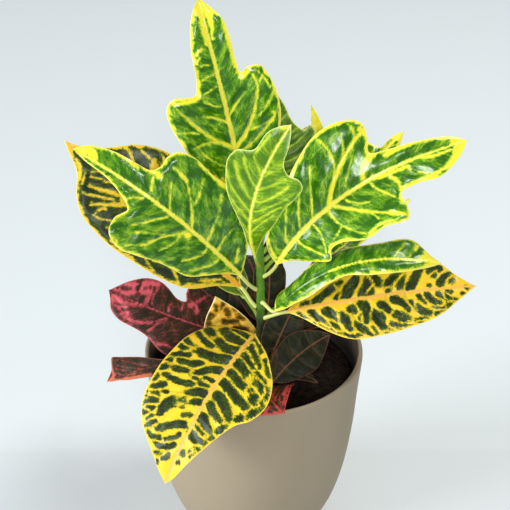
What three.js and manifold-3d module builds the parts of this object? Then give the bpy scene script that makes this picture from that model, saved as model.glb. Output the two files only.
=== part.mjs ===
// A croton in its pot: one woody stem with 27 leathery, variegated leaves, standing in the soil
// of an egg-shaped ceramic pot. Millimetres, +Z up. The origin is the centre of the pot's flat
// foot, and the plant is seen from -Y, with its right at +X.
import * as THREE from "three";
import { mergeVertices } from "three/addons/utils/BufferGeometryUtils.js";
import Module from "manifold-3d";

const wasm = await Module();
wasm.setup();

// ---- Driving dimensions -------------------------------------------------------------------

const GAP = 0.3; // between pieces that touch on the real plant

// The pot: [radius, height] of its outer wall from the foot up, then its wall, floor and rim.
const POT_WALL = [[41, 0], [49.5, 12], [56, 26], [62, 50], [66, 80], [68, 108], [70, 131]];
const POT_THICKNESS = 3;
const POT_FLOOR = 5;
const POT_HEIGHT = 135;
const POT_STEPS = 10;
const POT_SIDES = 48;

// The soil fills the pot to 22 mm below its rim, a little higher round the stem.
const SOIL_TOP = 113;
const SOIL_RISE = 2;
const SOIL_SIDES = 32;

// The stem, from the foot of its hole in the soil to its growing tip.
const STEM_LINE = [[5, 0, 70], [5, 0, 115], [4.5, 0, 165], [3.5, 0, 216]];
const STEM_RADII = [3.6, 2.2];
const STEM_SIDES = 10;
const STEM_STEPS = 8;

// Every leaf: a blade of even thickness on a petiole that runs on beneath it as the midrib.
const BLADE_THICKNESS = 0.9;
const BLADE_LEAST_WIDTH = 0.6;
const PETIOLE_RADIUS = 1.4;
const MIDRIB_END_RADIUS = 0.6;
const MIDRIB_SHARE = 0.7;
const MIDRIB_SINK = 0.6; // of its radius, below the blade
const PETIOLE_SIDES = 6;
const PETIOLE_STEPS = 5;
const MIDRIB_STEPS = 4;

// ---- Leaf outlines ------------------------------------------------------------------------
// A leaf is drawn flat first, in hundredths of its length. Each row is one pair of side ribs:
// where they leave the midrib, then how far along and how far out they reach the margin, on
// the left and on the right. The margin is a smooth curve through the rows.

const OAK = [
  [0, 0, 0, 0, 0], [2, 8, 10, 8, 10], [7, 18, 20, 18, 20], [14, 31, 26, 29, 25],
  [22, 42, 29, 41, 26], [30, 49, 28, 51, 24], [37, 52, 24, 57, 21], [42, 51, 18, 58, 15],
  [46, 51, 13, 56, 11], [53, 58, 11, 62, 10], [63, 70, 10, 72, 10], [76, 82, 8, 84, 9],
  [89, 93, 4, 94, 4], [100, 100, 0, 100, 0],
];
const OAK_HOOKED = [
  [0, 0, 0, 0, 0], [2, 6, 4, 4, 6], [5, 14, 11, 10, 13], [10, 21, 17, 18, 18],
  [17, 30, 19, 30, 25], [25, 38, 21, 42, 25], [33, 47, 24, 52, 26], [41, 56, 26, 59, 24],
  [48, 64, 23, 62, 19], [55, 66, 16, 62, 14], [60, 63, 10, 65, 10], [67, 70, 6, 73, 9],
  [78, 81, 3, 84, 8], [90, 92, 2, 94, 5], [100, 100, 0, 100, 0],
];
const OAK_YOUNG = [
  [0, 0, 0, 0, 0], [9, 15, 2, 10, 4], [20, 28, 4, 24, 10], [29, 40, 9, 36, 15],
  [38, 52, 16, 48, 18], [48, 62, 20, 60, 22], [57, 70, 22, 70, 24], [65, 76, 19, 75, 20],
  [71, 78, 13, 75, 13], [77, 81, 10, 80, 8], [86, 90, 9, 89, 6], [94, 96, 5, 96, 3],
  [100, 100, 0, 100, 0],
];
const OAK_LONG = [
  [0, 0, 0, 0, 0], [3, 6, 8, 6, 4], [7, 14, 12, 13, 11], [14, 22, 15, 22, 17],
  [20, 30, 18, 27, 14], [27, 40, 23, 34, 15], [35, 50, 27, 45, 20], [43, 60, 27, 56, 20],
  [50, 67, 23, 66, 22], [55, 67, 16, 69, 17], [59, 65, 10, 69, 11], [66, 71, 8, 76, 10],
  [78, 83, 6, 86, 11], [90, 94, 4, 95, 6], [100, 100, 0, 100, 0],
];
const ARCHING = [
  [0, 0, 0, 0, 0], [1, 2, 8, 3, 2], [7, 12, 8, 12, 5], [16, 22, 8, 22, 7],
  [30, 36, 11, 34, 7], [45, 50, 12, 48, 6], [60, 65, 11, 62, 7], [72, 76, 12, 74, 8],
  [84, 88, 13, 85, 6], [93, 94, 9, 94, 3], [100, 100, 0, 100, 0],
];
const SPREAD = [
  [0, 0, 0, 0, 0], [3, 8, 7, 8, 5], [10, 22, 15, 20, 14], [22, 38, 19, 32, 20],
  [36, 52, 20, 46, 20], [50, 66, 18, 60, 18], [66, 80, 14, 76, 14], [84, 91, 6, 90, 6],
  [100, 100, 0, 100, 0],
];
const HEART = [
  [0, 0, 0, 0, 0], [2, 6, 5, 0, 8], [6, 13, 12, 1, 17], [11, 22, 19, 6, 24],
  [18, 31, 25, 18, 27], [28, 42, 28, 33, 29], [40, 51, 25, 49, 29], [50, 57, 19, 61, 29],
  [60, 66, 14, 71, 27], [70, 76, 10, 80, 23], [82, 87, 6, 89, 14], [92, 95, 3, 96, 7],
  [100, 100, 0, 100, 0],
];
const WAISTED = [
  [0, 0, 0, 0, 0], [3, 8, 6, 8, 8], [8, 17, 15, 17, 15], [16, 28, 19, 28, 20],
  [26, 42, 21, 42, 24], [38, 54, 22, 55, 25], [50, 65, 21, 65, 23], [60, 73, 19, 74, 18],
  [70, 80, 14, 81, 11], [80, 86, 7, 88, 5], [90, 94, 3, 94, 2], [100, 100, 0, 100, 0],
];
const LOBED = [
  [0, 0, 0, 0, 0], [3, 8, 12, 8, 12], [9, 20, 22, 19, 22], [16, 33, 27, 30, 27],
  [23, 43, 27, 38, 26], [30, 50, 25, 40, 20], [36, 55, 22, 39, 14], [42, 60, 19, 46, 14],
  [52, 67, 17, 55, 18], [63, 76, 16, 65, 20], [75, 84, 15, 76, 18], [87, 92, 11, 88, 11],
  [95, 96, 5, 95, 5], [100, 100, 0, 100, 0],
];
const BLUNT = [
  [0, 0, 0, 0, 0], [15, 20, 7, 20, 4], [35, 38, 10, 38, 7], [55, 56, 9, 56, 13],
  [72, 74, 7, 74, 18], [84, 85, 4, 84, 21], [90, 90, 3, 87, 18], [95, 95, 2, 90, 9],
  [100, 100, 0, 100, 0],
];
const SMALL = [
  [0, 0, 0, 0, 0], [10, 6, 34, 6, 54], [35, 32, 34, 32, 50], [60, 58, 24, 58, 34],
  [82, 80, 11, 80, 16], [100, 100, 0, 100, 0],
];
const CURLED = [
  [0, -1, 2, 0, 2], [5, -8, 38, 5, 42], [20, 5, 37, 30, 54], [40, 25, 30, 60, 52],
  [60, 47, 21, 80, 42], [78, 70, 12, 90, 22], [92, 92, 3, 97, 6], [100, 100, 0, 100, 0],
];
const NOTCHED = [
  [0, 0, 0, 0, 0], [6, 14, 14, 14, 16], [14, 26, 22, 28, 30], [24, 40, 26, 42, 38],
  [34, 52, 26, 54, 41], [42, 60, 22, 60, 37], [47, 64, 17, 56, 31], [56, 70, 13, 65, 21],
  [72, 82, 10, 81, 15], [88, 93, 5, 93, 8], [100, 100, 0, 100, 0],
];
const SLENDER = [
  [0, 0, 0, 0, 0], [10, 18, 7, 18, 7], [30, 40, 10, 40, 10], [50, 58, 11, 58, 10],
  [68, 74, 9, 74, 8], [80, 84, 4, 84, 6], [92, 94, 2, 94, 3], [100, 100, 0, 100, 0],
];
const EARED = [
  [0, 0, 0, 0, 0], [8, 18, 8, 18, 8], [20, 34, 13, 34, 12], [34, 52, 18, 48, 14],
  [46, 65, 20, 60, 13], [55, 71, 13, 70, 10], [62, 75, 4, 77, 8], [74, 83, 4, 86, 7],
  [90, 94, 3, 95, 3], [100, 100, 0, 100, 0],
];

// A plain pointed oval: half as wide as `out`, and widest where its ribs start at `widest`.
function oval(out, widest = 42, rows = 8) {
  const power = Math.log(0.5) / Math.log(widest / 100);
  const outline = [[0, 0, 0, 0, 0]];
  for (let i = 0; i < rows; i += 1) {
    const start = 0.06 + (0.88 * i) / (rows - 1);
    const reach = out * Math.sin(Math.PI * start ** power) ** 0.75;
    const along = 100 * start + 0.55 * reach * Math.min(1, start / 0.3) * (1 - start);
    outline.push([100 * start, along, reach, along, reach]);
  }
  outline.push([100, 100, 0, 100, 0]);
  return outline;
}

// ---- The leaves ---------------------------------------------------------------------------
// stem: height of the petiole on the stem, and its bearing in degrees from +X towards +Y.
// base, middle, tip: three points of the blade's midrib. face: the way the upper side looks.
// fold: how far each half of the blade is raised, in degrees. fine: more sections and ribs.

const LEAVES = [
  { name: "leaf_top", stem: [210, 130], base: [-5, 12, 239], middle: [-19, 20, 304],
    tip: [-32, 32, 355], face: [0.1, -0.8, 0.6], fold: 8, outline: OAK, fine: true },
  { name: "leaf_upper_left", stem: [179, 205], base: [-8, -6, 192], middle: [-53, -14, 244],
    tip: [-105, 2, 274], face: [-0.15, -0.75, 0.65], fold: 6, outline: OAK_HOOKED, fine: true },
  { name: "leaf_centre", stem: [197, 255], base: [1, -8, 206], middle: [0, -22, 253],
    tip: [21, -14, 297], face: [0, -0.9, 0.3], fold: 5, outline: OAK_YOUNG, fine: true },
  { name: "leaf_upper_right", stem: [189, 325], base: [14, -6, 200], middle: [56, -8, 251],
    tip: [125, 8, 277], face: [0.1, -0.75, 0.65], fold: 6, outline: OAK_LONG, fine: true },
  { name: "leaf_right_arching", stem: [170, 290], base: [13, -12, 170], middle: [54, -26, 212],
    tip: [111, -22, 211], face: [0.1, -0.4, 0.9], fold: -12, outline: ARCHING },
  { name: "leaf_right_spread", stem: [158, 320], base: [20, -10, 168], middle: [79, -20, 187],
    tip: [136, -10, 187], face: [0.1, -0.65, 0.75], fold: 0, outline: SPREAD },
  { name: "leaf_front_drooping", stem: [149, 255], base: [1, -14, 154], middle: [-27, -72, 149],
    tip: [-52, -94, 103], face: [-0.25, -0.6, 0.75], fold: 4, outline: HEART, fine: true },
  { name: "leaf_left_dark", stem: [165, 170], base: [-8, 4, 177], middle: [-63, 8, 229],
    tip: [-113, 20, 271], face: [-0.2, -0.7, 0.7], fold: 4, outline: WAISTED },
  { name: "leaf_left_red", stem: [134, 150], base: [-12, 12, 133], middle: [-54, -2, 160],
    tip: [-90, -4, 180], face: [-0.2, -0.6, 0.8], fold: 0, outline: LOBED },
  { name: "leaf_left_low", stem: [128, 215], base: [-34, -20, 137], middle: [-65, -33, 142],
    tip: [-90, -39, 136], face: [-0.3, -0.7, 0.6], fold: 0, outline: BLUNT },
  { name: "leaf_small_orange", stem: [141, 190], base: [-18, -1, 139], middle: [-21, -2, 158],
    tip: [-24, -2, 174], face: [0, -0.85, 0.5], fold: 0, outline: SMALL },
  { name: "leaf_behind_stem", stem: [148.5, 75], base: [8, 8, 151], middle: [10, 13, 177],
    tip: [8, 20, 202], face: [0.1, -0.9, 0.4], fold: -6, outline: oval(20) },
  { name: "leaf_inner_dark", stem: [128, 335], base: [11, -8, 129], middle: [18, -4, 149],
    tip: [31, 10, 171], face: [0.15, -0.85, 0.45], fold: 0, outline: oval(24) },
  { name: "leaf_low_dark", stem: [123, 290], base: [12, -29, 128], middle: [29, -16, 140],
    tip: [48, -5, 147], face: [-0.1, -0.8, 0.6], fold: 0, outline: oval(29) },
  { name: "leaf_low_right", stem: [128, 25], base: [15, 9, 131], middle: [38, 15, 138],
    tip: [59, 20, 137], face: [0.1, -0.7, 0.7], fold: 0, outline: oval(22) },
  { name: "leaf_front_red", stem: [119.5, 245], base: [4, -27, 121], middle: [11, -57, 140],
    tip: [18, -76, 141], face: [0, -0.1, 1], fold: 0, outline: CURLED },
  { name: "leaf_low_wilted", stem: [118, 350], base: [19, -8, 118], middle: [30, -12, 121],
    tip: [41, -17, 118], face: [0, 0, 1], fold: 0, outline: oval(25) },
  { name: "leaf_behind_top", stem: [208, 75], base: [11, 22, 237], middle: [11, 34, 265],
    tip: [6, 48, 296], face: [0.1, -0.8, 0.6], fold: 5, outline: NOTCHED },
  { name: "leaf_narrow_top", stem: [204, 42], base: [34, 26, 217], middle: [40, 36, 246],
    tip: [35, 48, 282], face: [0.1, -0.85, 0.5], fold: 10, outline: SLENDER },
  { name: "leaf_behind_right", stem: [199, 15], base: [40, 18, 221], middle: [67, 30, 245],
    tip: [93, 46, 265], face: [0.1, -0.7, 0.7], fold: 6, outline: EARED },
  { name: "leaf_under_right", stem: [154, 40], base: [32, 12, 177], middle: [60, 24, 198],
    tip: [99, 40, 221], face: [0.2, 0.3, 1], fold: 6, outline: oval(20) },
  { name: "leaf_back_high", stem: [194, 105], base: [0, 14, 208], middle: [-6, 62, 226],
    tip: [-13, 106, 206], face: [0, -0.2, 1], fold: 8, outline: OAK },
  { name: "leaf_back_left", stem: [156, 130], base: [-6, 12, 165], middle: [-44, 48, 182],
    tip: [-80, 86, 172], face: [-0.3, 0.4, 1], fold: 8, outline: oval(24) },
  { name: "leaf_back_right", stem: [190, 50], base: [22, 16, 201], middle: [50, 48, 211],
    tip: [82, 86, 198], face: [0.2, 0.2, 1], fold: 4, outline: oval(24, 50) },
  { name: "leaf_low_back_right", stem: [144, 30], base: [19, 14, 152], middle: [60, 30, 162],
    tip: [100, 50, 150], face: [0.2, 0, 1], fold: 6, outline: oval(22) },
  { name: "leaf_low_back_left", stem: [131, 110], base: [-13, 27, 139], middle: [-29, 33, 152],
    tip: [-43, 38, 151], face: [-0.1, -0.6, 0.8], fold: 6, outline: oval(28, 32) },
  { name: "leaf_low_back", stem: [136, 80], base: [6, 14, 142], middle: [0, 52, 158],
    tip: [-8, 90, 148], face: [0, 0.5, 0.8], fold: 6, outline: oval(26) },
];

// ---- Geometry helpers ---------------------------------------------------------------------

const vector = (point) => new THREE.Vector3(...point);

// A solid for joining and cutting, from a closed geometry.
function solidOf(geometry) {
  const plain = geometry.clone();
  plain.deleteAttribute("normal");
  plain.deleteAttribute("uv");
  const merged = mergeVertices(plain, 1e-4);
  return new wasm.Manifold(new wasm.Mesh({
    numProp: 3,
    vertProperties: merged.attributes.position.array,
    triVerts: new Uint32Array(merged.index.array),
  }));
}

// The geometry of a joined or cut solid.
function geometryOf(solid) {
  const mesh = solid.getMesh();
  const geometry = new THREE.BufferGeometry();
  geometry.setAttribute("position", new THREE.BufferAttribute(mesh.vertProperties, 3));
  geometry.setIndex(new THREE.BufferAttribute(mesh.triVerts, 1));
  geometry.computeVertexNormals();
  return geometry;
}

// A closed tube through points, its radius easing from one end's to the other's.
function taperedTube(points, startRadius, endRadius, sides, steps) {
  const curve = new THREE.CatmullRomCurve3(points);
  const frames = curve.computeFrenetFrames(steps);
  const positions = [];
  const indices = [];
  for (let i = 0; i <= steps; i += 1) {
    const centre = curve.getPointAt(i / steps);
    const radius = THREE.MathUtils.lerp(startRadius, endRadius, i / steps);
    for (let j = 0; j < sides; j += 1) {
      const angle = (2 * Math.PI * j) / sides;
      const point = centre.clone()
        .addScaledVector(frames.normals[i], radius * Math.cos(angle))
        .addScaledVector(frames.binormals[i], radius * Math.sin(angle));
      positions.push(...point.toArray());
    }
  }
  for (let i = 0; i < steps; i += 1) {
    for (let j = 0; j < sides; j += 1) {
      const a = i * sides + j;
      const b = i * sides + ((j + 1) % sides);
      indices.push(a, b, a + sides, b, b + sides, a + sides);
    }
  }
  const end = steps * sides;
  for (let j = 1; j < sides - 1; j += 1) {
    indices.push(0, j + 1, j);
    indices.push(end, end + j, end + j + 1);
  }
  const geometry = new THREE.BufferGeometry();
  geometry.setAttribute("position", new THREE.Float32BufferAttribute(positions, 3));
  geometry.setIndex(indices);
  return geometry;
}

// ---- One leaf -----------------------------------------------------------------------------

// Rows of an outline, smoothed: `between` new rows follow each given one.
function smoothRows(outline, between) {
  const last = outline.length - 1;
  const mirrored = (end, next) => end.map((value, k) => 2 * value - next[k]);
  const rows = [mirrored(outline[0], outline[1]), ...outline,
    mirrored(outline[last], outline[last - 1])];
  const smooth = [];
  for (let i = 0; i < last; i += 1) {
    for (let step = 0; step <= between; step += 1) {
      const t = step / (between + 1);
      smooth.push(rows[i + 1].map((here, k) => {
        const [before, next, after] = [rows[i][k], rows[i + 2][k], rows[i + 3][k]];
        return 0.5 * (2 * here + (next - before) * t
          + (2 * before - 5 * here + 4 * next - after) * t * t
          + (3 * here - before - 3 * next + after) * t * t * t);
      }));
    }
  }
  smooth.push(outline[last]);
  return smooth;
}

// The blade's midrib: a parabola through the leaf's base, middle and tip.
function midribOf(leaf) {
  const [base, middle, tip] = [leaf.base, leaf.middle, leaf.tip].map(vector);
  const control = middle.multiplyScalar(2).addScaledVector(base, -0.5).addScaledVector(tip, -0.5);
  return new THREE.QuadraticBezierCurve3(base, control, tip);
}

// Where a point of the flat leaf lies in space, and the blade's normal there. `along` and
// `out` are shares of the leaf's length, and `out` is negative on the left half.
function onBlade(leaf, midrib, along, out) {
  const share = THREE.MathUtils.clamp(along, 0, 1);
  const [start, bend, end] = [midrib.v0, midrib.v1, midrib.v2];
  const speed = bend.clone().sub(start).multiplyScalar(2 * (1 - share))
    .addScaledVector(end.clone().sub(bend), 2 * share);
  const tangent = speed.clone().normalize();
  const face = vector(leaf.face).normalize();
  const normal = face.addScaledVector(tangent, -face.dot(tangent)).normalize();
  const side = tangent.clone().cross(normal);
  const width = out * midrib.getLength();
  const fold = THREE.MathUtils.degToRad(leaf.fold);
  const point = midrib.getPoint(share)
    .addScaledVector(speed, along - share)
    .addScaledVector(side, width * Math.cos(fold))
    .addScaledVector(normal, Math.abs(width) * Math.sin(fold));
  return { point, normal };
}

// The blade: two faces, half its thickness above and below, closed by a strip round the edge.
function bladeGeometry(leaf, midrib) {
  const ribShares = leaf.fine ? [-1, -0.5, 0, 0.5, 1] : [-1, 0, 1];
  const columns = ribShares.length;
  const rows = smoothRows(leaf.outline, leaf.fine ? 1 : 0);
  const least = BLADE_LEAST_WIDTH / midrib.getLength();
  const upper = [];
  const lower = [];
  for (const [start, leftAlong, leftOut, rightAlong, rightOut] of rows) {
    for (const share of ribShares) {
      const [marginAlong, marginOut] = share < 0 ? [leftAlong, leftOut] : [rightAlong, rightOut];
      const along = THREE.MathUtils.lerp(start, marginAlong, Math.abs(share)) / 100;
      const out = share * Math.max(marginOut / 100, least);
      const { point, normal } = onBlade(leaf, midrib, along, out);
      upper.push(...point.clone().addScaledVector(normal, BLADE_THICKNESS / 2).toArray());
      lower.push(...point.clone().addScaledVector(normal, -BLADE_THICKNESS / 2).toArray());
    }
  }
  const below = upper.length / 3;
  const last = (rows.length - 1) * columns;
  const indices = [];
  for (let i = 0; i < last; i += columns) {
    for (let j = i; j < i + columns - 1; j += 1) {
      const [a, b, c, d] = [j, j + 1, j + columns, j + columns + 1];
      indices.push(a, b, c, b, d, c);
      indices.push(below + a, below + c, below + b, below + b, below + c, below + d);
    }
  }
  const edge = [];
  for (let j = 0; j < columns; j += 1) edge.push(j);
  for (let i = columns; i <= last; i += columns) edge.push(i + columns - 1);
  for (let j = last + columns - 2; j >= last; j -= 1) edge.push(j);
  for (let i = last - columns; i > 0; i -= columns) edge.push(i);
  edge.forEach((here, k) => {
    const next = edge[(k + 1) % edge.length];
    indices.push(here, below + here, next, next, below + here, below + next);
  });
  const geometry = new THREE.BufferGeometry();
  geometry.setAttribute("position", new THREE.Float32BufferAttribute([...upper, ...lower], 3));
  geometry.setIndex(indices);
  return geometry;
}

// The petiole leaves the stem level, bends to the blade's base and runs on beneath the blade.
function petioleGeometry(leaf, midrib, stem) {
  const [height, bearing] = leaf.stem;
  const angle = THREE.MathUtils.degToRad(bearing);
  const outward = new THREE.Vector3(Math.cos(angle), Math.sin(angle), 0);
  const { centre, radius } = stem(height);
  const start = centre.addScaledVector(outward, radius + GAP);
  const base = vector(leaf.base);
  const reach = start.distanceTo(base) / 3;
  const tangent = midrib.getTangent(0);
  const petiole = new THREE.CubicBezierCurve3(
    start,
    start.clone().addScaledVector(outward, reach),
    base.clone().addScaledVector(tangent, -reach),
    base,
  );
  const points = petiole.getPoints(PETIOLE_STEPS).slice(0, -1);
  points.splice(1, 0, start.clone().add(outward));
  for (let i = 0; i <= MIDRIB_STEPS; i += 1) {
    const along = (MIDRIB_SHARE * i) / MIDRIB_STEPS;
    const { point, normal } = onBlade(leaf, midrib, along, 0);
    const thickness = THREE.MathUtils.lerp(PETIOLE_RADIUS, MIDRIB_END_RADIUS, i / MIDRIB_STEPS);
    points.push(point.addScaledVector(normal, -MIDRIB_SINK * thickness));
  }
  const steps = PETIOLE_STEPS + MIDRIB_STEPS;
  return taperedTube(points, PETIOLE_RADIUS, MIDRIB_END_RADIUS, PETIOLE_SIDES, steps);
}

function leafGeometry(leaf, stem) {
  const midrib = midribOf(leaf);
  const blade = solidOf(bladeGeometry(leaf, midrib));
  const petiole = solidOf(petioleGeometry(leaf, midrib, stem));
  return geometryOf(blade.add(petiole));
}

// ---- Pot, soil and stem -------------------------------------------------------------------

const wallCurve = new THREE.SplineCurve(POT_WALL.map(([r, z]) => new THREE.Vector2(r, z)));
const wallPoints = wallCurve.getPoints(POT_STEPS);

// The pot's radius at a height, on the smooth line through its driving points.
function potRadius(height) {
  const next = wallPoints.findIndex((point, i) => i > 0 && point.y >= height);
  const [below, above] = [wallPoints[next - 1], wallPoints[next]];
  return THREE.MathUtils.mapLinear(height, below.y, above.y, below.x, above.x);
}

function potGeometry() {
  const outside = wallPoints.map((point) => point.clone());
  const rim = POT_WALL.at(-1)[0];
  const lip = POT_THICKNESS / 2;
  const inside = wallPoints.filter((point) => point.y > POT_FLOOR + 4)
    .map((point) => new THREE.Vector2(point.x - POT_THICKNESS, point.y)).reverse();
  const profile = [
    new THREE.Vector2(0, 0),
    ...outside,
    new THREE.Vector2(rim - 0.2 * lip, POT_HEIGHT - 1),
    new THREE.Vector2(rim - lip, POT_HEIGHT),
    new THREE.Vector2(rim - 1.8 * lip, POT_HEIGHT - 1),
    ...inside,
    new THREE.Vector2(potRadius(POT_FLOOR) - 2 * POT_THICKNESS, POT_FLOOR),
    new THREE.Vector2(0, POT_FLOOR),
  ];
  return new THREE.LatheGeometry(profile, POT_SIDES).rotateX(Math.PI / 2);
}

// The soil follows the pot's inner wall and has a plain hole for the stem.
function soilGeometry() {
  const floor = POT_FLOOR + GAP;
  const sides = wallPoints.filter((point) => point.y > POT_FLOOR + 8 && point.y < SOIL_TOP)
    .map((point) => new THREE.Vector2(point.x - POT_THICKNESS - 2 * GAP, point.y));
  const edge = potRadius(SOIL_TOP) - POT_THICKNESS - 2 * GAP;
  const profile = [
    new THREE.Vector2(0, floor),
    new THREE.Vector2(potRadius(POT_FLOOR) - 3 * POT_THICKNESS, floor),
    ...sides,
    new THREE.Vector2(edge, SOIL_TOP),
    new THREE.Vector2(0.5 * edge, SOIL_TOP + 0.6 * SOIL_RISE),
    new THREE.Vector2(0, SOIL_TOP + SOIL_RISE),
  ];
  const body = new THREE.LatheGeometry(profile, SOIL_SIDES).rotateX(Math.PI / 2);
  const [x, y, bottom] = STEM_LINE[0];
  const depth = SOIL_TOP + 2 * SOIL_RISE - bottom + GAP;
  const radius = (STEM_RADII[0] + GAP) / Math.cos(Math.PI / STEM_SIDES);
  const hole = new THREE.CylinderGeometry(radius, radius, depth, STEM_SIDES)
    .rotateX(Math.PI / 2).translate(x, y, bottom - GAP + depth / 2);
  return geometryOf(solidOf(body).subtract(solidOf(hole)));
}

const stemPoints = STEM_LINE.map(vector);
const stemGeometry = () => taperedTube(stemPoints, ...STEM_RADII, STEM_SIDES, STEM_STEPS);

// The stem's centre and radius at a height.
function stemAt(height) {
  const curve = new THREE.CatmullRomCurve3(stemPoints);
  const share = (height - STEM_LINE[0][2]) / (STEM_LINE.at(-1)[2] - STEM_LINE[0][2]);
  return {
    centre: curve.getPointAt(share).setZ(height),
    radius: THREE.MathUtils.lerp(...STEM_RADII, share),
  };
}

// ---- Materials and the assembly -----------------------------------------------------------

const material = (color, roughness) =>
  new THREE.MeshStandardMaterial({ color, roughness, metalness: 0 });
const GLAZE = material(0xa89c8c, 0.6);
const PEAT = material(0x1c1512, 1);
const STEM_GREEN = material(0x4f8a2a, 0.5);
const LEAF_GREEN = material(0x4f9a2c, 0.35);

const group = new THREE.Group();

function addPiece(name, geometry, look) {
  const mesh = new THREE.Mesh(geometry, look);
  mesh.name = name;
  group.add(mesh);
}

addPiece("pot", potGeometry(), GLAZE);
addPiece("soil", soilGeometry(), PEAT);
addPiece("stem", stemGeometry(), STEM_GREEN);
for (const leaf of LEAVES) addPiece(leaf.name, leafGeometry(leaf, stemAt), LEAF_GREEN);

export default group;
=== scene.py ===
"""A young variegated croton in a matt egg-shaped pot, standing on a pale floor.

The pot, the soil, the stem and each leaf are surfaces of two parameters, in millimetres, that
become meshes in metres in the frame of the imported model."""

import bpy
import numpy as np
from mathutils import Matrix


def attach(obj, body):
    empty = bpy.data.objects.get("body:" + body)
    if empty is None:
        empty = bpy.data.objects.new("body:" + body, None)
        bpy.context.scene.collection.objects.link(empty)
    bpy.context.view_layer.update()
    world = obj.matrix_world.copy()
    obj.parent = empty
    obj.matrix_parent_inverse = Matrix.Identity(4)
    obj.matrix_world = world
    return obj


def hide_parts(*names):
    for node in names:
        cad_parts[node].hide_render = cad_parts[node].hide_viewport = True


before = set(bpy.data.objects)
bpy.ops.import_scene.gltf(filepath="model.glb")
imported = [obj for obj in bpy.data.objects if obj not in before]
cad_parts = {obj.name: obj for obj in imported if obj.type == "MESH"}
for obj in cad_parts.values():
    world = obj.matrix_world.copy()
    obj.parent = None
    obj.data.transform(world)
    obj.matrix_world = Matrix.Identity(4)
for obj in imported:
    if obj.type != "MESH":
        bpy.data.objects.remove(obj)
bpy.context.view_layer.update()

# ---- Camera, floor and light ---------------------------------------------------------------
# The plant stands free on a plain pale blue-grey ground, which runs on past the top of the
# picture. A window gives soft light from the left, and a small softbox in front and a lamp
# above fill it in.

MM = 0.001
EYE = (0.77, -594.34, 563.21)
TILT = 58.8        # degrees up from straight down
LENS = 80
SENSOR = 36
AIM = (0, 0, 0.2)  # what the lights are turned to, in metres like the floor's corners
FLOOR = [(-6, -4, 0), (6, -4, 0), (6, 9, 0), (-6, 9, 0)]


def put(name, data):
    """A new object in the scene, from its data."""
    made = bpy.data.objects.new(name, data)
    bpy.context.scene.collection.objects.link(made)
    return made


def colour(code):
    """The linear colour of a hex code: each channel is decoded from the sRGB curve."""
    shares = np.array([int(code[i:i + 2], 16) for i in (1, 3, 5)]) / 255
    linear = np.where(shares < 0.04045, shares / 12.92, ((shares + 0.055) / 1.055) ** 2.4)
    return (*linear.tolist(), 1.0)


def node(tree, kind, settings=None, **inputs):
    """A shader node with its settings, and each named input set to a value or fed by a socket."""
    made = tree.nodes.new("ShaderNode" + kind)
    for name, value in (settings or {}).items():
        setattr(made, name, value)
    for name, value in inputs.items():
        socket = made.inputs[int(name[1:]) if name[1:].isdigit() else name.replace("_", " ")]
        if isinstance(value, bpy.types.NodeSocket):
            tree.links.new(value, socket)
        else:
            socket.default_value = value
    return made


def maths(tree, operation, first, second=0.0, third=0.0):
    """The socket of one arithmetic operation on values or sockets."""
    return node(tree, "Math", {"operation": operation}, i0=first, i1=second, i2=third).outputs[0]


def step(tree, value, low, high):
    """A smooth step: 0 below low, 1 above high, and an even ease between them."""
    eased = node(tree, "MapRange", {"interpolation_type": "SMOOTHSTEP"}, Value=value,
                 From_Min=low, From_Max=high)
    return eased.outputs[0]


def mix(tree, share, first, second):
    """A blend from first at share 0 to second at share 1, each a socket or a hex code."""
    first, second = (colour(end) if isinstance(end, str) else end for end in (first, second))
    return node(tree, "Mix", {"data_type": "RGBA"}, i0=share, i6=first, i7=second).outputs[2]


def noise(tree, place, scale, detail, roughness=0.5):
    """The socket of fractal noise at a place."""
    return node(tree, "TexNoise", Vector=place, Scale=scale, Detail=detail,
                Roughness=roughness).outputs[0]


def place_on(tree):
    """The socket of the place on the object, in metres."""
    return node(tree, "TexCoord").outputs["Object"]


def finish_of(name, roughness, specular=0.5):
    """A new material with its tree and its shader, and the shader's even values set."""
    skin = bpy.data.materials.new(name)
    skin.use_nodes = True
    shader = skin.node_tree.nodes["Principled BSDF"]
    shader.inputs["Roughness"].default_value = roughness
    shader.inputs["Specular IOR Level"].default_value = specular
    return skin, skin.node_tree, shader


def paint(tree, shader, painted, height=None, strength=0.0, distance=0.0):
    """Give a shader its colour, and bump it by a height whose full step is a distance."""
    tree.links.new(painted, shader.inputs["Base Color"])
    if height is not None:
        bump = node(tree, "Bump", Strength=strength, Distance=distance, Height=height)
        tree.links.new(bump.outputs[0], shader.inputs["Normal"])


def add_light(name, place, size, power, tint):
    """A square soft light at a place in metres, turned towards the middle of the plant."""
    lamp = bpy.data.lights.new(name, "AREA")
    lamp.size = size
    lamp.energy = power
    lamp.color = colour(tint)[:3]
    held = put(name, lamp)
    held.location = place
    aim = np.array(AIM) - np.array(place)
    level = np.hypot(aim[0], aim[1])
    held.rotation_euler = (np.pi / 2 + np.arctan2(aim[2], level), 0,
                           np.arctan2(aim[1], aim[0]) - np.pi / 2)


eye = bpy.data.cameras.new("camera")
eye.lens = LENS
eye.sensor_width = SENSOR
eye.clip_start = 0.01
tripod = put("camera", eye)
tripod.location = [MM * value for value in EYE]
tripod.rotation_euler = (np.radians(TILT), 0, 0)
bpy.context.scene.camera = tripod

bpy.context.scene.view_settings.view_transform = "Standard"
add_light("window", (-4.4, -1.45, 1.06), 2.4, 254, "#f6f9ff")
add_light("softbox", (0.04, -1.4, 0.98), 0.3, 10, "#ffffff")
add_light("lamp_above", (1.1, 0.35, 2.3), 0.8, 28, "#fffdf8")
sky = bpy.data.worlds.new("sky")
sky.use_nodes = True
glow = sky.node_tree.nodes["Background"]
glow.inputs["Color"].default_value = colour("#f2f4f4")
glow.inputs["Strength"].default_value = 0.4
bpy.context.scene.world = sky

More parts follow.
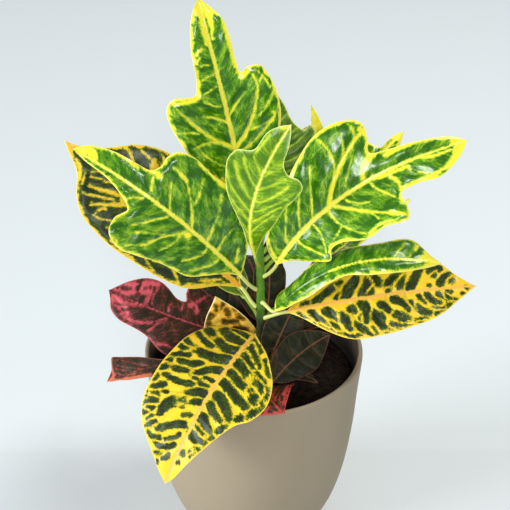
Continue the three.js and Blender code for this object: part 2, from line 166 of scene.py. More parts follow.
floor_mesh = bpy.data.meshes.new("floor")
floor_mesh.from_pydata(FLOOR, [], [(0, 1, 2, 3)])
floor = put("floor", floor_mesh)
paper, tree, shader = finish_of("floor_paper", 0.9, 0.1)
# From 5 cm behind the pot's middle on, the floor is painted a shade lighter, as painted light where
# the lamps reach the far floor less.
painted_light_far = step(tree, node(tree, "SeparateXYZ", Vector=place_on(tree)).outputs[1], 0.050, 0.060)
paint(tree, shader, mix(tree, painted_light_far, "#e1e8eb", "#e4ecef"))
floor_mesh.materials.append(paper)

# ---- Pot ------------------------------------------------------------------------------------
# A slip-cast ceramic cover pot: an egg-shaped wall 3 mm thick with a soft rim and a flat foot,
# in a matt greige glaze. Its inside is painted shade: a dim taupe just under the rim and near
# black below, in place of the shadow inside the pot.

POT_WALL = [(41, 0), (49.5, 12), (56, 26), (62, 50), (66, 80), (68, 108), (70, 131)]
POT_FOOT = [(0.01, 0), (38, 0), (40.2, 0.25)]
POT_FLOOR = [(43, 6.5), (40, 5), (0.01, 5)]
POT_CORNER = 9    # the height that the inner wall comes down to
POT_THICKNESS = 3
POT_HEIGHT = 135
LIP_RISE = 1.6
LIP_POINTS = 13
LIP_GLAZED = 9    # of the lip's points, counted from outside
TURNED_SIDES = 160


def catmull(points, count):
    """Points along a smooth line through the given ones: the uniform Catmull-Rom cubic."""
    points = np.asarray(points, float)
    padded = np.vstack([2 * points[0] - points[1], points, 2 * points[-1] - points[-2]])
    place = np.linspace(0, len(points) - 1, count)
    i = np.minimum(place.astype(int), len(points) - 2)
    t = (place - i)[:, None]
    a, b, c, d = padded[i], padded[i + 1], padded[i + 2], padded[i + 3]
    return 0.5 * (2 * b + (c - a) * t + (2 * a - 5 * b + 4 * c - d) * t * t
                  + (3 * b - a - 3 * c + d) * t ** 3)


def grid_faces(rows, columns, closed=False):
    """The corners of each quad of a grid of points, closed round in the second direction or not."""
    i, j = np.meshgrid(np.arange(rows - 1), np.arange(columns if closed else columns - 1),
                       indexing="ij")
    k = (j + 1) % columns
    corners = (i * columns + j, i * columns + k, (i + 1) * columns + k, (i + 1) * columns + j)
    return np.stack(corners, -1).reshape(-1, 4)


def tube_faces(rings):
    """The quads of a tube of rings, and strips straight across its first and its last ring."""
    count, sides = rings.shape[:2]
    j = np.arange(sides // 2 - 1)
    strip = np.stack([j, j + 1, sides - 2 - j, sides - 1 - j], -1)
    return np.concatenate([grid_faces(count, sides, closed=True), strip[:, ::-1],
                           (count - 1) * sides + strip])


def new_piece(name, points, faces, skins, skin_of=None, weave=None, marks=None):
    """A mesh object from points in millimetres and quads, on the one body of the plant.
    skin_of gives each quad's material, weave each point's UV and marks its named values."""
    mesh = bpy.data.meshes.new(name)
    mesh.vertices.add(points.size // 3)
    mesh.vertices.foreach_set("co", (MM * points).astype(np.float32).ravel())
    mesh.loops.add(faces.size)
    mesh.loops.foreach_set("vertex_index", faces.astype(np.int32).ravel())
    mesh.polygons.add(len(faces))
    mesh.polygons.foreach_set("loop_start", np.arange(0, faces.size, 4, dtype=np.int32))
    if skin_of is not None:
        mesh.polygons.foreach_set("material_index", skin_of.astype(np.int32))
    if weave is not None:
        mesh.uv_layers.new(name="ribs").data.foreach_set("uv", weave[faces.ravel()].ravel())
    for mark, values in (marks or {}).items():
        layer = mesh.attributes.new(mark, "FLOAT", "POINT")
        layer.data.foreach_set("value", values.astype(np.float32))
    for skin in skins:
        mesh.materials.append(skin)
    mesh.update(calc_edges=True)
    mesh.validate()
    mesh.shade_smooth()
    piece = put(name, mesh)
    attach(piece, "root")
    return piece


def turned(profile):
    """A turned surface: each (radius, height) of the profile is carried round the Z axis."""
    angle = np.arange(TURNED_SIDES) * 2 * np.pi / TURNED_SIDES
    radius, height = np.asarray(profile, float).T[:, :, None]
    return np.stack([radius * np.cos(angle), radius * np.sin(angle), height + 0 * angle], -1)


wall = catmull(POT_WALL, 70)
rim = 0.5 * POT_THICKNESS
arc = np.linspace(0, np.pi, LIP_POINTS)
lip = np.stack([POT_WALL[-1][0] - rim + rim * np.cos(arc),
                POT_HEIGHT - LIP_RISE + LIP_RISE * np.sin(arc)], -1)
inner = wall[wall[:, 1] > POT_CORNER][::-1] - (POT_THICKNESS, 0)
pot_shape = turned(np.vstack([POT_FOOT, wall[1:], lip, inner, POT_FLOOR]))

glaze, tree, shader = finish_of("matt_greige_glaze", 0.62, 0.35)
place = place_on(tree)
clouds = noise(tree, place, 14.0, 4.0)
grain = noise(tree, place, 900.0, 3.0)
body = mix(tree, clouds, "#9f917a", "#93856d")
body = mix(tree, maths(tree, "MULTIPLY", grain, 0.25), body, "#877c69")
rough = maths(tree, "MULTIPLY_ADD", clouds, 0.12, 0.54)
tree.links.new(rough, shader.inputs["Roughness"])
paint(tree, shader, body, grain, 0.25, 0.0003)

# The inside's colour is painted shade: near black below 117 mm, dim taupe above 133 mm.
inside, tree, shader = finish_of("inside_painted_shade", 0.8, 0.2)
place = place_on(tree)
height = node(tree, "SeparateXYZ", Vector=place).outputs[2]
low = mix(tree, noise(tree, place, 60.0, 4.0), "#1a1614", "#2c2622")
paint(tree, shader, mix(tree, step(tree, height, 0.117, 0.133), low, "#7d705f"))

rows_glazed = len(POT_FOOT) + len(wall) - 1 + LIP_GLAZED
skin_of = np.r_[np.repeat(np.arange(len(pot_shape) - 1) >= rows_glazed, TURNED_SIDES),
                np.repeat([False, True], TURNED_SIDES // 2 - 1)]
pot = new_piece("pot_wall", pot_shape, tube_faces(pot_shape), [glaze, inside], skin_of)
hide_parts("pot")

# ---- Soil -----------------------------------------------------------------------------------
# Dark moist potting soil of peat and bark crumbs, pressed level 22 mm below the rim.

SOIL_TOP = 113
SOIL_RISE = 2
SOIL_RADIUS = 63.9
SOIL_RINGS = 60
SOIL_INSET = 3.7        # from the wall's outer face
SOIL_SIDE = (14, 110)   # the heights between which the soil follows the wall
SOIL_FOOT = (44, 6)     # radius and height


def lumps(x, y, waves, size, seed):
    """A rough field: a sum of sine waves of random directions and lengths about size."""
    draw = np.random.default_rng(seed)
    total = np.zeros(np.broadcast(x, y).shape)
    for _ in range(waves):
        turn, phase = draw.uniform(0, 2 * np.pi, 2)
        length = size * draw.uniform(0.5, 1.6)
        total += np.sin(2 * np.pi * (x * np.cos(turn) + y * np.sin(turn)) / length + phase)
    return total / np.sqrt(waves)


def soil_shape():
    """Rings from the middle of the top out to the wall, down it and in to the middle below.
    The top is a low dome plus lumps of two sizes."""
    out = np.linspace(0.01, 1, SOIL_RINGS)
    low, high = SOIL_SIDE
    beside = wall[(wall[:, 1] > low) & (wall[:, 1] < high)][::-1]
    radius = np.r_[out * SOIL_RADIUS, beside[:, 0] - SOIL_INSET, SOIL_FOOT[0], 0.01]
    level = np.r_[np.full(SOIL_RINGS, SOIL_TOP), beside[:, 1], SOIL_FOOT[1], SOIL_FOOT[1]]
    rings = turned(np.stack([radius, level], -1))
    x, y, rise = np.moveaxis(rings[:SOIL_RINGS], 2, 0)
    dome = SOIL_RISE * (1 - out[:, None] ** 2)
    rough = 0.55 * lumps(x, y, 14, 9, 1) + 0.35 * lumps(x, y, 14, 3.5, 2)
    rise += dome + rough * (1 - out[:, None] ** 8) - 0.6
    return rings


def ramp_of(tree, share, stops):
    """The socket of the colour that a ramp gives a share. Commas part the ramp's stops, and
    each is a share and a hex code."""
    picked = node(tree, "ValToRGB", i0=share)
    elements = picked.color_ramp.elements
    stops = [stop.split() for stop in stops.split(",")]
    while len(elements) < len(stops):
        elements.new(0.5)
    for element, (spot, code) in zip(elements, stops):
        element.position = float(spot)
        element.color = colour(code)
    return picked.outputs[0]


peat, tree, shader = finish_of("potting_soil", 0.95, 0.15)
place = place_on(tree)
earth = ramp_of(tree, noise(tree, place, 260.0, 6.0), ".35 #0d0a08, .75 #33251c")
crumbs = node(tree, "TexVoronoi", Vector=place, Scale=420.0)
paint(tree, shader, earth, crumbs.outputs[0], 0.9, 0.0012)
rings = soil_shape()
soil = new_piece("soil_fill", rings, tube_faces(rings)[:, ::-1], [peat])
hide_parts("soil")

# ---- Stem -----------------------------------------------------------------------------------
# One upright stem, as thick as a pencil at its foot. It is green above and near-black olive lower
# down, with a soft, uneven change between, and swells a little where each leaf stalk leaves it.

STEM_LINE = [(5, 0, 70), (5, 0, 115), (4.5, 0, 165), (3.5, 0, 216)]
STEM_RADII = (3.6, 2.2)


def unit(vectors):
    """Vectors divided by their lengths."""
    return vectors / np.linalg.norm(vectors, axis=-1, keepdims=True)


def tube(line, radii, sides):
    """A tube: rings of given radii round each point of a line, square to the line. Each ring's
    first direction is the one before it, made square to the new tangent."""
    tangent = unit(np.gradient(line, axis=0))
    aside = np.empty_like(line)
    start = np.cross(tangent[0], (0, 0, 1) if abs(tangent[0][2]) < 0.9 else (0, 1, 0))
    for i, forward in enumerate(tangent):
        start = unit(start - forward * np.dot(start, forward))
        aside[i] = start
    across = np.cross(tangent, aside)
    angle = np.arange(sides) * 2 * np.pi / sides
    spokes = (np.cos(angle)[None, :, None] * aside[:, None]
              + np.sin(angle)[None, :, None] * across[:, None])
    return line[:, None] + np.asarray(radii)[:, None, None] * spokes


def stem_at(level):
    """The stem's middle and radius at a height: both ease evenly along its line."""
    line = catmull(STEM_LINE, 200)
    share = (level - STEM_LINE[0][2]) / (STEM_LINE[-1][2] - STEM_LINE[0][2])
    middle = [np.interp(level, line[:, 2], line[:, k]) for k in (0, 1)]
    return np.array([*middle, level]), STEM_RADII[0] + (STEM_RADII[1] - STEM_RADII[0]) * share


bark, tree, shader = finish_of("young_bark", 0.45)
place = place_on(tree)
height = node(tree, "SeparateXYZ", Vector=place).outputs[2]
squashed = node(tree, "Mapping", Vector=place, Scale=(260, 260, 60)).outputs[0]
cork = noise(tree, squashed, 1.0, 5.0)
green_above = step(tree, maths(tree, "MULTIPLY_ADD", cork, 0.02, height), 0.158, 0.186)
green = mix(tree, cork, "#2f680c", "#6b9c20")
brown = mix(tree, cork, "#1c2016", "#3a3a26")
paint(tree, shader, mix(tree, green_above, brown, green), cork, 0.4, 0.0005)

# ---- Leaves: shape --------------------------------------------------------------------------
# Each leaf is one leathery blade about 0.8 mm thick, with lobes cut in its sides, on a stalk
# that runs on beneath it as the midrib. Side veins are sunk in its upper face and stand out
# below, the skin bulges between them, and the margin waves a little.

BLADE_HALF = 0.36       # half the blade's thickness
MARGIN_HALF = 0.03      # and at the margin
END_HALF = 0.35         # half the blade's width at its two ends
MARGIN_CROWDING = 1.15  # draws the grid's lines together towards the margin
BULGE_RISE = 3.2        # the skin bulges over this far from a vein
BULGE_FALL = 2.5        # and flattens over this far from the margin
WAVE_LENGTH = 34
WAVE_START = 12         # the margin waves in full from here on along the leaf
PUCKER_HEIGHT = 0.1
PUCKER_LENGTH = 10
GROOVE = (0.5, 2.4)     # depth and half-width of the trough along the midrib
CREST = (0.55, 0.9)     # and height and half-width of the crest in it
VEIN = (0.22, 0.8)      # and of a sunk side vein
STALK_RADIUS = 1.15
STALK_FOOT = 1.9        # the radius inside the bark
STALK_RISE = 0.7        # the slope where it leaves the stem
STALK_SIDES = 12
STALK_RINGS = 25        # up to the blade
MIDRIB_RINGS = 46       # beneath the blade
MIDRIB_REACH = 0.96     # how far along the blade the stalk runs beneath it
MIDRIB_CRISP = 1.6      # how much more the distance from the midrib counts in the pattern
ISLAND_WIDER = 1.22     # islands are this much wider than their rows say
ISLAND_MORE = 0.0015    # and by this share of the leaf's length
COARSE = (110, 26)      # ribs, and steps from the midrib to each margin
SMOOTH_ROWS = 1200      # the points that an outline is measured on


def hump(distance, width):
    """1 where a distance is 0, fading over a width as the Gaussian curve does."""
    return np.exp(-(distance / width) ** 2)


class Midrib:
    """A parabola through a leaf's base, middle and tip, and the blade's directions along it."""

    def __init__(self, base, middle, tip, face, fold):
        self.base, middle, self.tip = (np.asarray(p, float) for p in (base, middle, tip))
        self.bend = 2 * middle - (self.base + self.tip) / 2
        self.face = unit(np.asarray(face, float))
        self.fold = np.radians(fold)
        walk = self.point(np.linspace(0, 1, 200))
        self.length = np.linalg.norm(np.diff(walk, axis=0), axis=1).sum()

    def point(self, t):
        """The parabola's point at each share t of the way."""
        t = np.asarray(t, float)[..., None]
        return (1 - t) ** 2 * self.base + 2 * t * (1 - t) * self.bend + t ** 2 * self.tip

    def speed(self, t):
        """The parabola's derivative at each share t of the way."""
        t = np.asarray(t, float)[..., None]
        return 2 * (1 - t) * (self.bend - self.base) + 2 * t * (self.tip - self.bend)

    def place(self, along, out, lift):
        """Points of the blade. along and out are shares of its length, out negative on the
        left; lift is in millimetres off the folded blade, along its normal."""
        share = np.clip(along, 0, 1)
        speed = self.speed(share)
        tangent = unit(speed)
        normal = unit(self.face - tangent * (tangent @ self.face)[..., None])
        side = np.cross(tangent, normal)
        width = (out * self.length)[..., None]
        raised = np.abs(width) * np.sin(self.fold) + np.asarray(lift)[..., None]
        return (self.point(share) + speed * (along - share)[..., None]
                + side * width * np.cos(self.fold) + normal * raised)


def ribs_of(outline, count):
    """The outline's rows made smooth, and spread so that they are evenly far apart on the leaf:
    columns are the rib's start on the midrib, then its left and right ends, along and out."""
    smooth = catmull(outline / 100, SMOOTH_ROWS)
    stride = np.abs(np.diff(smooth, axis=0))
    paced = np.r_[0, np.cumsum(stride[:, 0] + np.hypot(stride[:, 1], stride[:, 2])
                               + np.hypot(stride[:, 3], stride[:, 4]))]
    even = np.interp(np.linspace(0, paced[-1], count), paced, np.arange(SMOOTH_ROWS))
    return np.stack([np.interp(even, np.arange(SMOOTH_ROWS), smooth[:, k])
                     for k in range(5)], -1)


def nearest(points, curves, widths, taper=0.6):
    """The distances from each point to the nearest and to the second nearest of some curves,
    each a row of points, less the curve's half-width there, which loses the share taper towards
    its far end. A distance is the least over the straight stretches of the curve."""
    share = np.linspace(0, 1, curves.shape[1] - 1)
    first, second = np.full((2, len(points)), 99.0)
    for curve, width in zip(curves, widths):
        run = np.diff(curve, axis=0)
        away = points[:, None] - curve[None, :-1]
        t = np.clip((away * run).sum(2) / np.maximum((run ** 2).sum(1), 1e-9), 0, 1)
        gap = np.linalg.norm(away - t[..., None] * run, axis=2) - width * (1 - taper * share)
        gap = gap.min(1)
        second = np.minimum(second, np.maximum(first, gap))
        first = np.minimum(first, gap)
    return first, second


def bowed(strokes, count=7):
    """Points along parabolas: each row starts with six numbers, which are a start, a point half
    way and an end, along and out."""
    t = np.linspace(0, 1, count)[None, :, None]
    start, via, end = (strokes[:, None, k:k + 2] for k in (0, 2, 4))
    return start * (1 - t) * (1 - 2 * t) + via * 4 * t * (1 - t) + end * t * (2 * t - 1)


def side_veins(outline, count, reach=0.93):
    """Evenly spaced side veins as rows for bowed: each follows the rib at its place, sags
    towards the leaf's base, and stops short of the margin. Left ones come first."""
    ribs = ribs_of(outline, 12 * count)[6::12]
    rows = []
    for side, (k, m) in ((-1, (1, 2)), (1, (3, 4))):
        start = np.stack([ribs[:, 0], 0 * ribs[:, 0]], -1)
        end = start + reach * (np.stack([ribs[:, k], side * ribs[:, m]], -1) - start)
        sag = 0.12 * np.linalg.norm(end - start, axis=1)[:, None]
        rows.append(np.hstack([start, (start + end) / 2 - sag * (1, 0), end]))
    return np.vstack(rows)


def pattern(flat, edge, leaf, size, seed):
    """How far, in millimetres, each point lies inside the dark part of the leaf's pattern. It
    is the least of the distances from the midrib, the margin band, the tip and either the pale
    strokes or the side veins, and dark strokes are laid over that. Where the marks are the dark
    islands of a golden leaf, each is a little wider than its row says, and grows up to half way
    to the next one, less a gap. The midrib's distance counts more, for a crisp midrib."""
    x, y = flat.T
    rag = lumps(x, y, 10, 9, seed + 20)
    band = edge - leaf["margin"] * (1 + 0.45 * rag)
    if "marks" in leaf:
        curves, half = size / 100 * bowed(leaf["marks"]), size / 100 * leaf["marks"][:, 6]
    if leaf.get("islands"):
        first, second = nearest(flat, curves, ISLAND_WIDER * half + ISLAND_MORE * size, 0.25)
        apart = (second - first) / 2 - leaf["gap"]
        whole = np.minimum(np.minimum(apart, leaf["grown"] - first), band)
        axis = np.abs(y) - leaf["midrib"] * (1 - 0.6 * x / size)
        return np.minimum(whole, MIDRIB_CRISP * axis)
    tip = (leaf["tip_from"] - x / size) * size - 0.25 * np.abs(y) + 1.6 * rag
    axis = np.abs(y) - leaf["midrib"] * (1 - 0.45 * x / size)
    depth = np.minimum(np.minimum(band, tip), MIDRIB_CRISP * axis)
    if "marks" not in leaf:
        veins = size * side_veins(leaf["outline"], leaf["veins"])
        wide = np.full(len(veins), leaf["vein_width"])
        return np.minimum(depth, nearest(flat, bowed(veins), wide)[0])
    over = half < 0
    depth = np.minimum(depth, nearest(flat, curves[~over], half[~over], 0.4)[0])
    if over.any():
        depth = np.maximum(depth, -nearest(flat, curves[over], -half[over], 0.25)[0])
    return depth


def stalk_of(leaf, midrib):
    """A leaf's stalk as rings. It starts inside the bark, and a cubic curve with its handles
    outwards from the stem and back from the midrib leads to the blade's base. From there it
    runs on beneath the midrib and thins towards the tip."""
    level, bearing = leaf["stem"]
    middle, radius = stem_at(level)
    bearing = np.radians(bearing)
    outward = np.array([np.cos(bearing), np.sin(bearing), 0])
    start = middle + outward * (radius + 0.3)
    reach = np.linalg.norm(start - midrib.base) / 3
    t = np.linspace(0, 1, STALK_RINGS + 1)[:-1, None]
    rise = unit(outward + (0, 0, STALK_RISE))
    knee, wrist = start + rise * reach, midrib.base - unit(midrib.speed(0.0)) * reach
    stalk = ((1 - t) ** 3 * start + 3 * t * (1 - t) ** 2 * knee
             + 3 * t ** 2 * (1 - t) * wrist + t ** 3 * midrib.base)
    run = np.linspace(0, MIDRIB_REACH, MIDRIB_RINGS)
    thickness = STALK_RADIUS * (1 - 0.75 * run ** 0.8)
    beneath = midrib.place(run, 0 * run, -0.95 * thickness)
    line = np.concatenate([[middle + outward * (radius - 0.6)], stalk, beneath])
    swell = 1 + 0.35 * np.exp(-np.linspace(0, 6, STALK_RINGS + 1))[:-1]
    radii = np.r_[STALK_FOOT, STALK_RADIUS * swell, thickness]
    radii[[0, -1]] *= 0.05
    return tube(line, radii, STALK_SIDES)


def grow(name, leaf, seed):
    """One leaf as a closed skin and its stalk. The blade is a grid of ribs by shares of each
    rib, from the left margin over the midrib to the right margin; its upper and lower faces
    meet in a rounded edge. The named values give, in millimetres, how deep a point is in the
    dark part of the pattern, and how far it is from the margin."""
    midrib = Midrib(leaf["base"], leaf["middle"], leaf["tip"], leaf["face"], leaf["fold"])
    size = midrib.length
    rows, half = leaf.get("grid", COARSE)
    ribs = ribs_of(leaf["outline"], rows)
    share = np.linspace(-1, 1, 2 * half + 1)
    share = np.sign(share) * (1 - (1 - np.abs(share)) ** MARGIN_CROWDING)
    left, amount = share < 0, np.abs(share)
    end_along = np.where(left, ribs[:, 1:2], ribs[:, 3:4])
    end_out = np.maximum(np.where(left, ribs[:, 2:3], ribs[:, 4:5]), END_HALF / size)
    along = ribs[:, :1] * (1 - amount) + end_along * amount
    out = end_out * share
    flat = size * np.stack([along, out], -1).reshape(-1, 2)

    margin_line = np.concatenate([ribs[:, 1:3] * (1, -1), ribs[::-1, 3:5]])[None] * size
    edge = nearest(flat, margin_line, np.zeros(1))[0].clip(0)
    depth = pattern(flat, edge, leaf, size, seed)
    if "grooves" in leaf:
        sunk = leaf["grooves"] / 100
    elif "marks" in leaf and not leaf.get("islands"):
        # the broader strokes that start near the midrib and end away from it
        start, end, wide = leaf["marks"][:, [1, 5, 6]].T
        sunk = leaf["marks"][(wide >= 0.4) & (np.abs(start) < 5) & (np.abs(end) > 3)] / 100
    else:
        sunk = side_veins(leaf["outline"], leaf["veins"])
    ridge = nearest(flat, size * bowed(sunk), np.zeros(len(sunk)))[0]

    shape = along.shape
    x, y = size * along, size * out
    ridge, edge_away, axis_away = ridge.reshape(shape), edge.reshape(shape), np.abs(y)
    bulge = leaf["bulge"] * (1 - hump(np.minimum(ridge, axis_away), BULGE_RISE))
    bulge *= 1 - hump(edge_away, BULGE_FALL)
    wave = leaf["wave"] * amount ** 3 * lumps(x, y, 8, WAVE_LENGTH, seed)
    wave *= np.minimum(1, x / WAVE_START)
    puckers = PUCKER_HEIGHT * lumps(x, y, 16, PUCKER_LENGTH, seed + 50)
    puckers *= np.minimum(1, edge_away / 3)
    groove = GROOVE[0] * hump(axis_away, GROOVE[1]) - CREST[0] * hump(axis_away, CREST[1])
    veined = VEIN[0] * hump(ridge, VEIN[1])
    lift = bulge + wave + puckers
    thick = BLADE_HALF * np.sqrt(np.clip(1 - amount ** 10, 0, 1)) + MARGIN_HALF
    upper = midrib.place(along, out, lift - groove * (1 - along) - veined + thick)
    lower = midrib.place(along, out, lift - 1.5 * veined - thick)

    rings = stalk_of(leaf, midrib)
    points = np.concatenate([part.reshape(-1, 3) for part in (upper, lower, rings)])
    face = grid_faces(*shape)
    below = along.size
    rim_line = np.r_[np.arange(shape[1]), np.arange(1, shape[0]) * shape[1] + shape[1] - 1,
                     below - 1 - np.arange(1, shape[1]),
                     (shape[0] - 1 - np.arange(1, shape[0] - 1)) * shape[1]]
    after = np.roll(rim_line, -1)
    rim_faces = np.stack([rim_line, below + rim_line, below + after, after], -1)
    stalk_faces = tube_faces(rings) + 2 * below
    faces = np.concatenate([face, rim_faces, below + face[:, ::-1], stalk_faces])
    skin_of = np.repeat([0, 2, 1], [len(face) + len(rim_faces), len(face), len(stalk_faces)])

    def spread(values, filler):
        """The values of the blade's two faces, and one value for the stalk."""
        return np.r_[np.ravel(values), np.ravel(values), np.full(rings.size // 3, filler)]

    rib_length = size * np.hypot(end_along - ribs[:, :1], end_out)
    weave = np.stack([spread(size * ribs[:, :1] + 0 * share, 0.0),
                      spread(rib_length * share, 0.0)], -1)
    values = {"depth": spread(depth, 9.0), "edge": spread(edge, 9.0)}
    skins = [leaf["skin"], leaf["stalk"], leaf["under"]]
    return new_piece(name, points, faces, skins, skin_of, weave, values)


# ---- Leaves: skins --------------------------------------------------------------------------
# The upper skin is glossy and leathery: green with yellow veins on the young leaves, dark with
# broad golden veins on the next, dark red and pink on the old ones. The under skin is duller.


def leaf_skin(name, ramp, ragged, mottle, veinlets, gloss, specular, rib=None, rim=None):
    """A variegated skin. The depth inside the dark part is shifted by noise drawn out along the
    ribs, then made a share over its first millimetres: ragged holds the coarse and the fine
    noise's weight, and the depths that give 0 and 1. Patches and specks, weighed by mottle, and
    fine parallel veinlets, so far apart and so strong, lower that share again, and it picks the
    colour from a ramp. A rib colour is laid over the pale part near the midrib, and a rim
    colour along the margin, each over so many millimetres."""
    skin, tree, shader = finish_of(name, gloss, specular)
    ribs = node(tree, "UVMap", {"uv_map": "ribs"}).outputs[0]
    split = node(tree, "SeparateXYZ", Vector=ribs)
    depth = node(tree, "Attribute", {"attribute_name": "depth"}).outputs["Fac"]
    edge = node(tree, "Attribute", {"attribute_name": "edge"}).outputs["Fac"]

    def stretched(along, across):
        """The place on the ribs, with a pattern's scale along the leaf and along the ribs."""
        return node(tree, "Mapping", Vector=ribs, Scale=(along, across, 1)).outputs[0]

    def grain(along, across, detail):
        """Noise on the ribs, finer across them than along them, centred on zero."""
        return maths(tree, "SUBTRACT",
                     noise(tree, stretched(along, across), 1.0, detail, 0.6), 0.5)

    blot, speck, patch = grain(0.42, 0.24, 3.0), grain(1.4, 1.1, 4.0), grain(0.16, 0.1, 3.0)
    shift = maths(tree, "MULTIPLY_ADD", blot, ragged[0], maths(tree, "MULTIPLY", speck, ragged[1]))
    share = node(tree, "MapRange", Value=maths(tree, "ADD", depth, shift),
                 From_Min=ragged[2], From_Max=ragged[3]).outputs[0]
    dapple = maths(tree, "MULTIPLY", step(tree, patch, -0.12, 0.16), mottle[0])
    dapple = maths(tree, "MULTIPLY_ADD", step(tree, speck, 0.02, 0.2), mottle[1], dapple)
    wander = maths(tree, "MULTIPLY_ADD", blot, 2.2, split.outputs[0])
    line = step(tree, maths(tree, "PINGPONG", wander, veinlets[0] / 2), 0.5, 0.12)
    line = maths(tree, "MULTIPLY", line, step(tree, speck, -0.16, 0.1))
    drawn = stretched(0.42, 0.28)
    bent = node(tree, "TexNoise", Vector=drawn, Scale=1.6).outputs[1]
    cells = node(tree, "TexVoronoi", {"feature": "DISTANCE_TO_EDGE"}, Scale=1.0,
                 Vector=mix(tree, 0.35, drawn, bent))
    line = maths(tree, "MAXIMUM", line, step(tree, cells.outputs[0], 0.11, 0.02))
    line = maths(tree, "MULTIPLY", line, step(tree, patch, -0.14, 0.1))
    dapple = maths(tree, "MULTIPLY_ADD", line, veinlets[1], dapple)
    share = maths(tree, "SUBTRACT", share, maths(tree, "MULTIPLY", dapple, share))
    painted = ramp_of(tree, share, ramp)
    if rib:
        across = maths(tree, "ABSOLUTE", split.outputs[1])
        near = step(tree, maths(tree, "MULTIPLY_ADD", blot, 3.0, across), rib[1], 0.3 * rib[1])
        pale = step(tree, share, 0.35, 0.05)
        painted = mix(tree, maths(tree, "MULTIPLY", near, pale), painted, rib[0])
    if rim:
        painted = mix(tree, step(tree, edge, rim[1], 0.3 * rim[1]), painted, rim[0])
    tree.links.new(maths(tree, "MULTIPLY_ADD", speck, 0.25, gloss), shader.inputs["Roughness"])
    rough = maths(tree, "MULTIPLY_ADD", blot, 0.8, maths(tree, "MULTIPLY", speck, 0.6))
    paint(tree, shader, painted, rough, 0.15, 0.0005)
    return skin


def stalk_skin(name, pale, deep):
    """A leaf stalk's skin: two tones in streaks along it."""
    skin, tree, shader = finish_of(name, 0.4)
    paint(tree, shader, mix(tree, noise(tree, place_on(tree), 90.0, 3.0), pale, deep))
    return skin


GREEN_RAMP = "0 #f2e636, .2 #dcdc3a, .4 #a2c230, .6 #6ea01a, .8 #488108, 1 #2a6006"
MID_RAMP = "0 #efe436, .25 #c9d238, .45 #7fa824, .65 #568a12, .85 #397008, 1 #255a05"
LIME_RAMP = "0 #e2e434, .3 #aac626, .6 #75a015, .85 #58840c, 1 #4c7808"
GOLD_RAMP = "0 #f0c82e, .25 #e6c22c, .42 #ada01e, .58 #566a16, .78 #33461a, 1 #20291a"
RED_RAMP = "0 #ee6a78, .3 #c44c58, .55 #7a4038, .8 #4a3025, 1 #31271c"
SHADE_RAMP = "0 #c4cf4c, .3 #92aa30, .6 #65881e, 1 #3d5e14"
AMBER_RAMP = "0 #f0c44e, .3 #dba02e, .6 #86661a, 1 #33300f"
BROWN_RAMP = "0 #d8714f, .3 #a34f38, .6 #60382a, 1 #2b261a"
DARK_RAMP = "0 #5c4632, .3 #453a26, .6 #2c2e1c, 1 #1c2014"
SCARLET_RAMP = "0 #cf4844, .4 #9a3630, .7 #4c2a16, 1 #241a0c"
UNDER_GREEN_RAMP = "0 #ece268, .4 #b4bc48, 1 #7a933a"
UNDER_BRONZE_RAMP = "0 #c89a48, .4 #8a5a38, 1 #4a3428"

STALK_PALE = stalk_skin("stalk_cream", "#e6e496", "#bccb58")
STALK_GREEN = stalk_skin("stalk_green", "#a9c23c", "#6f9a2a")
STALK_RED = stalk_skin("stalk_red", "#8a4a30", "#5a2a20")
STALK_DARK = stalk_skin("stalk_olive", "#4a5a20", "#2a3414")

UNDER_GREEN = leaf_skin("leaf_under_green", UNDER_GREEN_RAMP, (1.0, 0.6, -0.5, 2.0), (0.3, 0.2),
                        (3.2, 0.3), 0.5, 0.3)
UNDER_BRONZE = leaf_skin("leaf_under_bronze", UNDER_BRONZE_RAMP, (1.0, 0.6, -0.5, 2.0),
                         (0.3, 0.2), (4.0, 0.3), 0.5, 0.3)
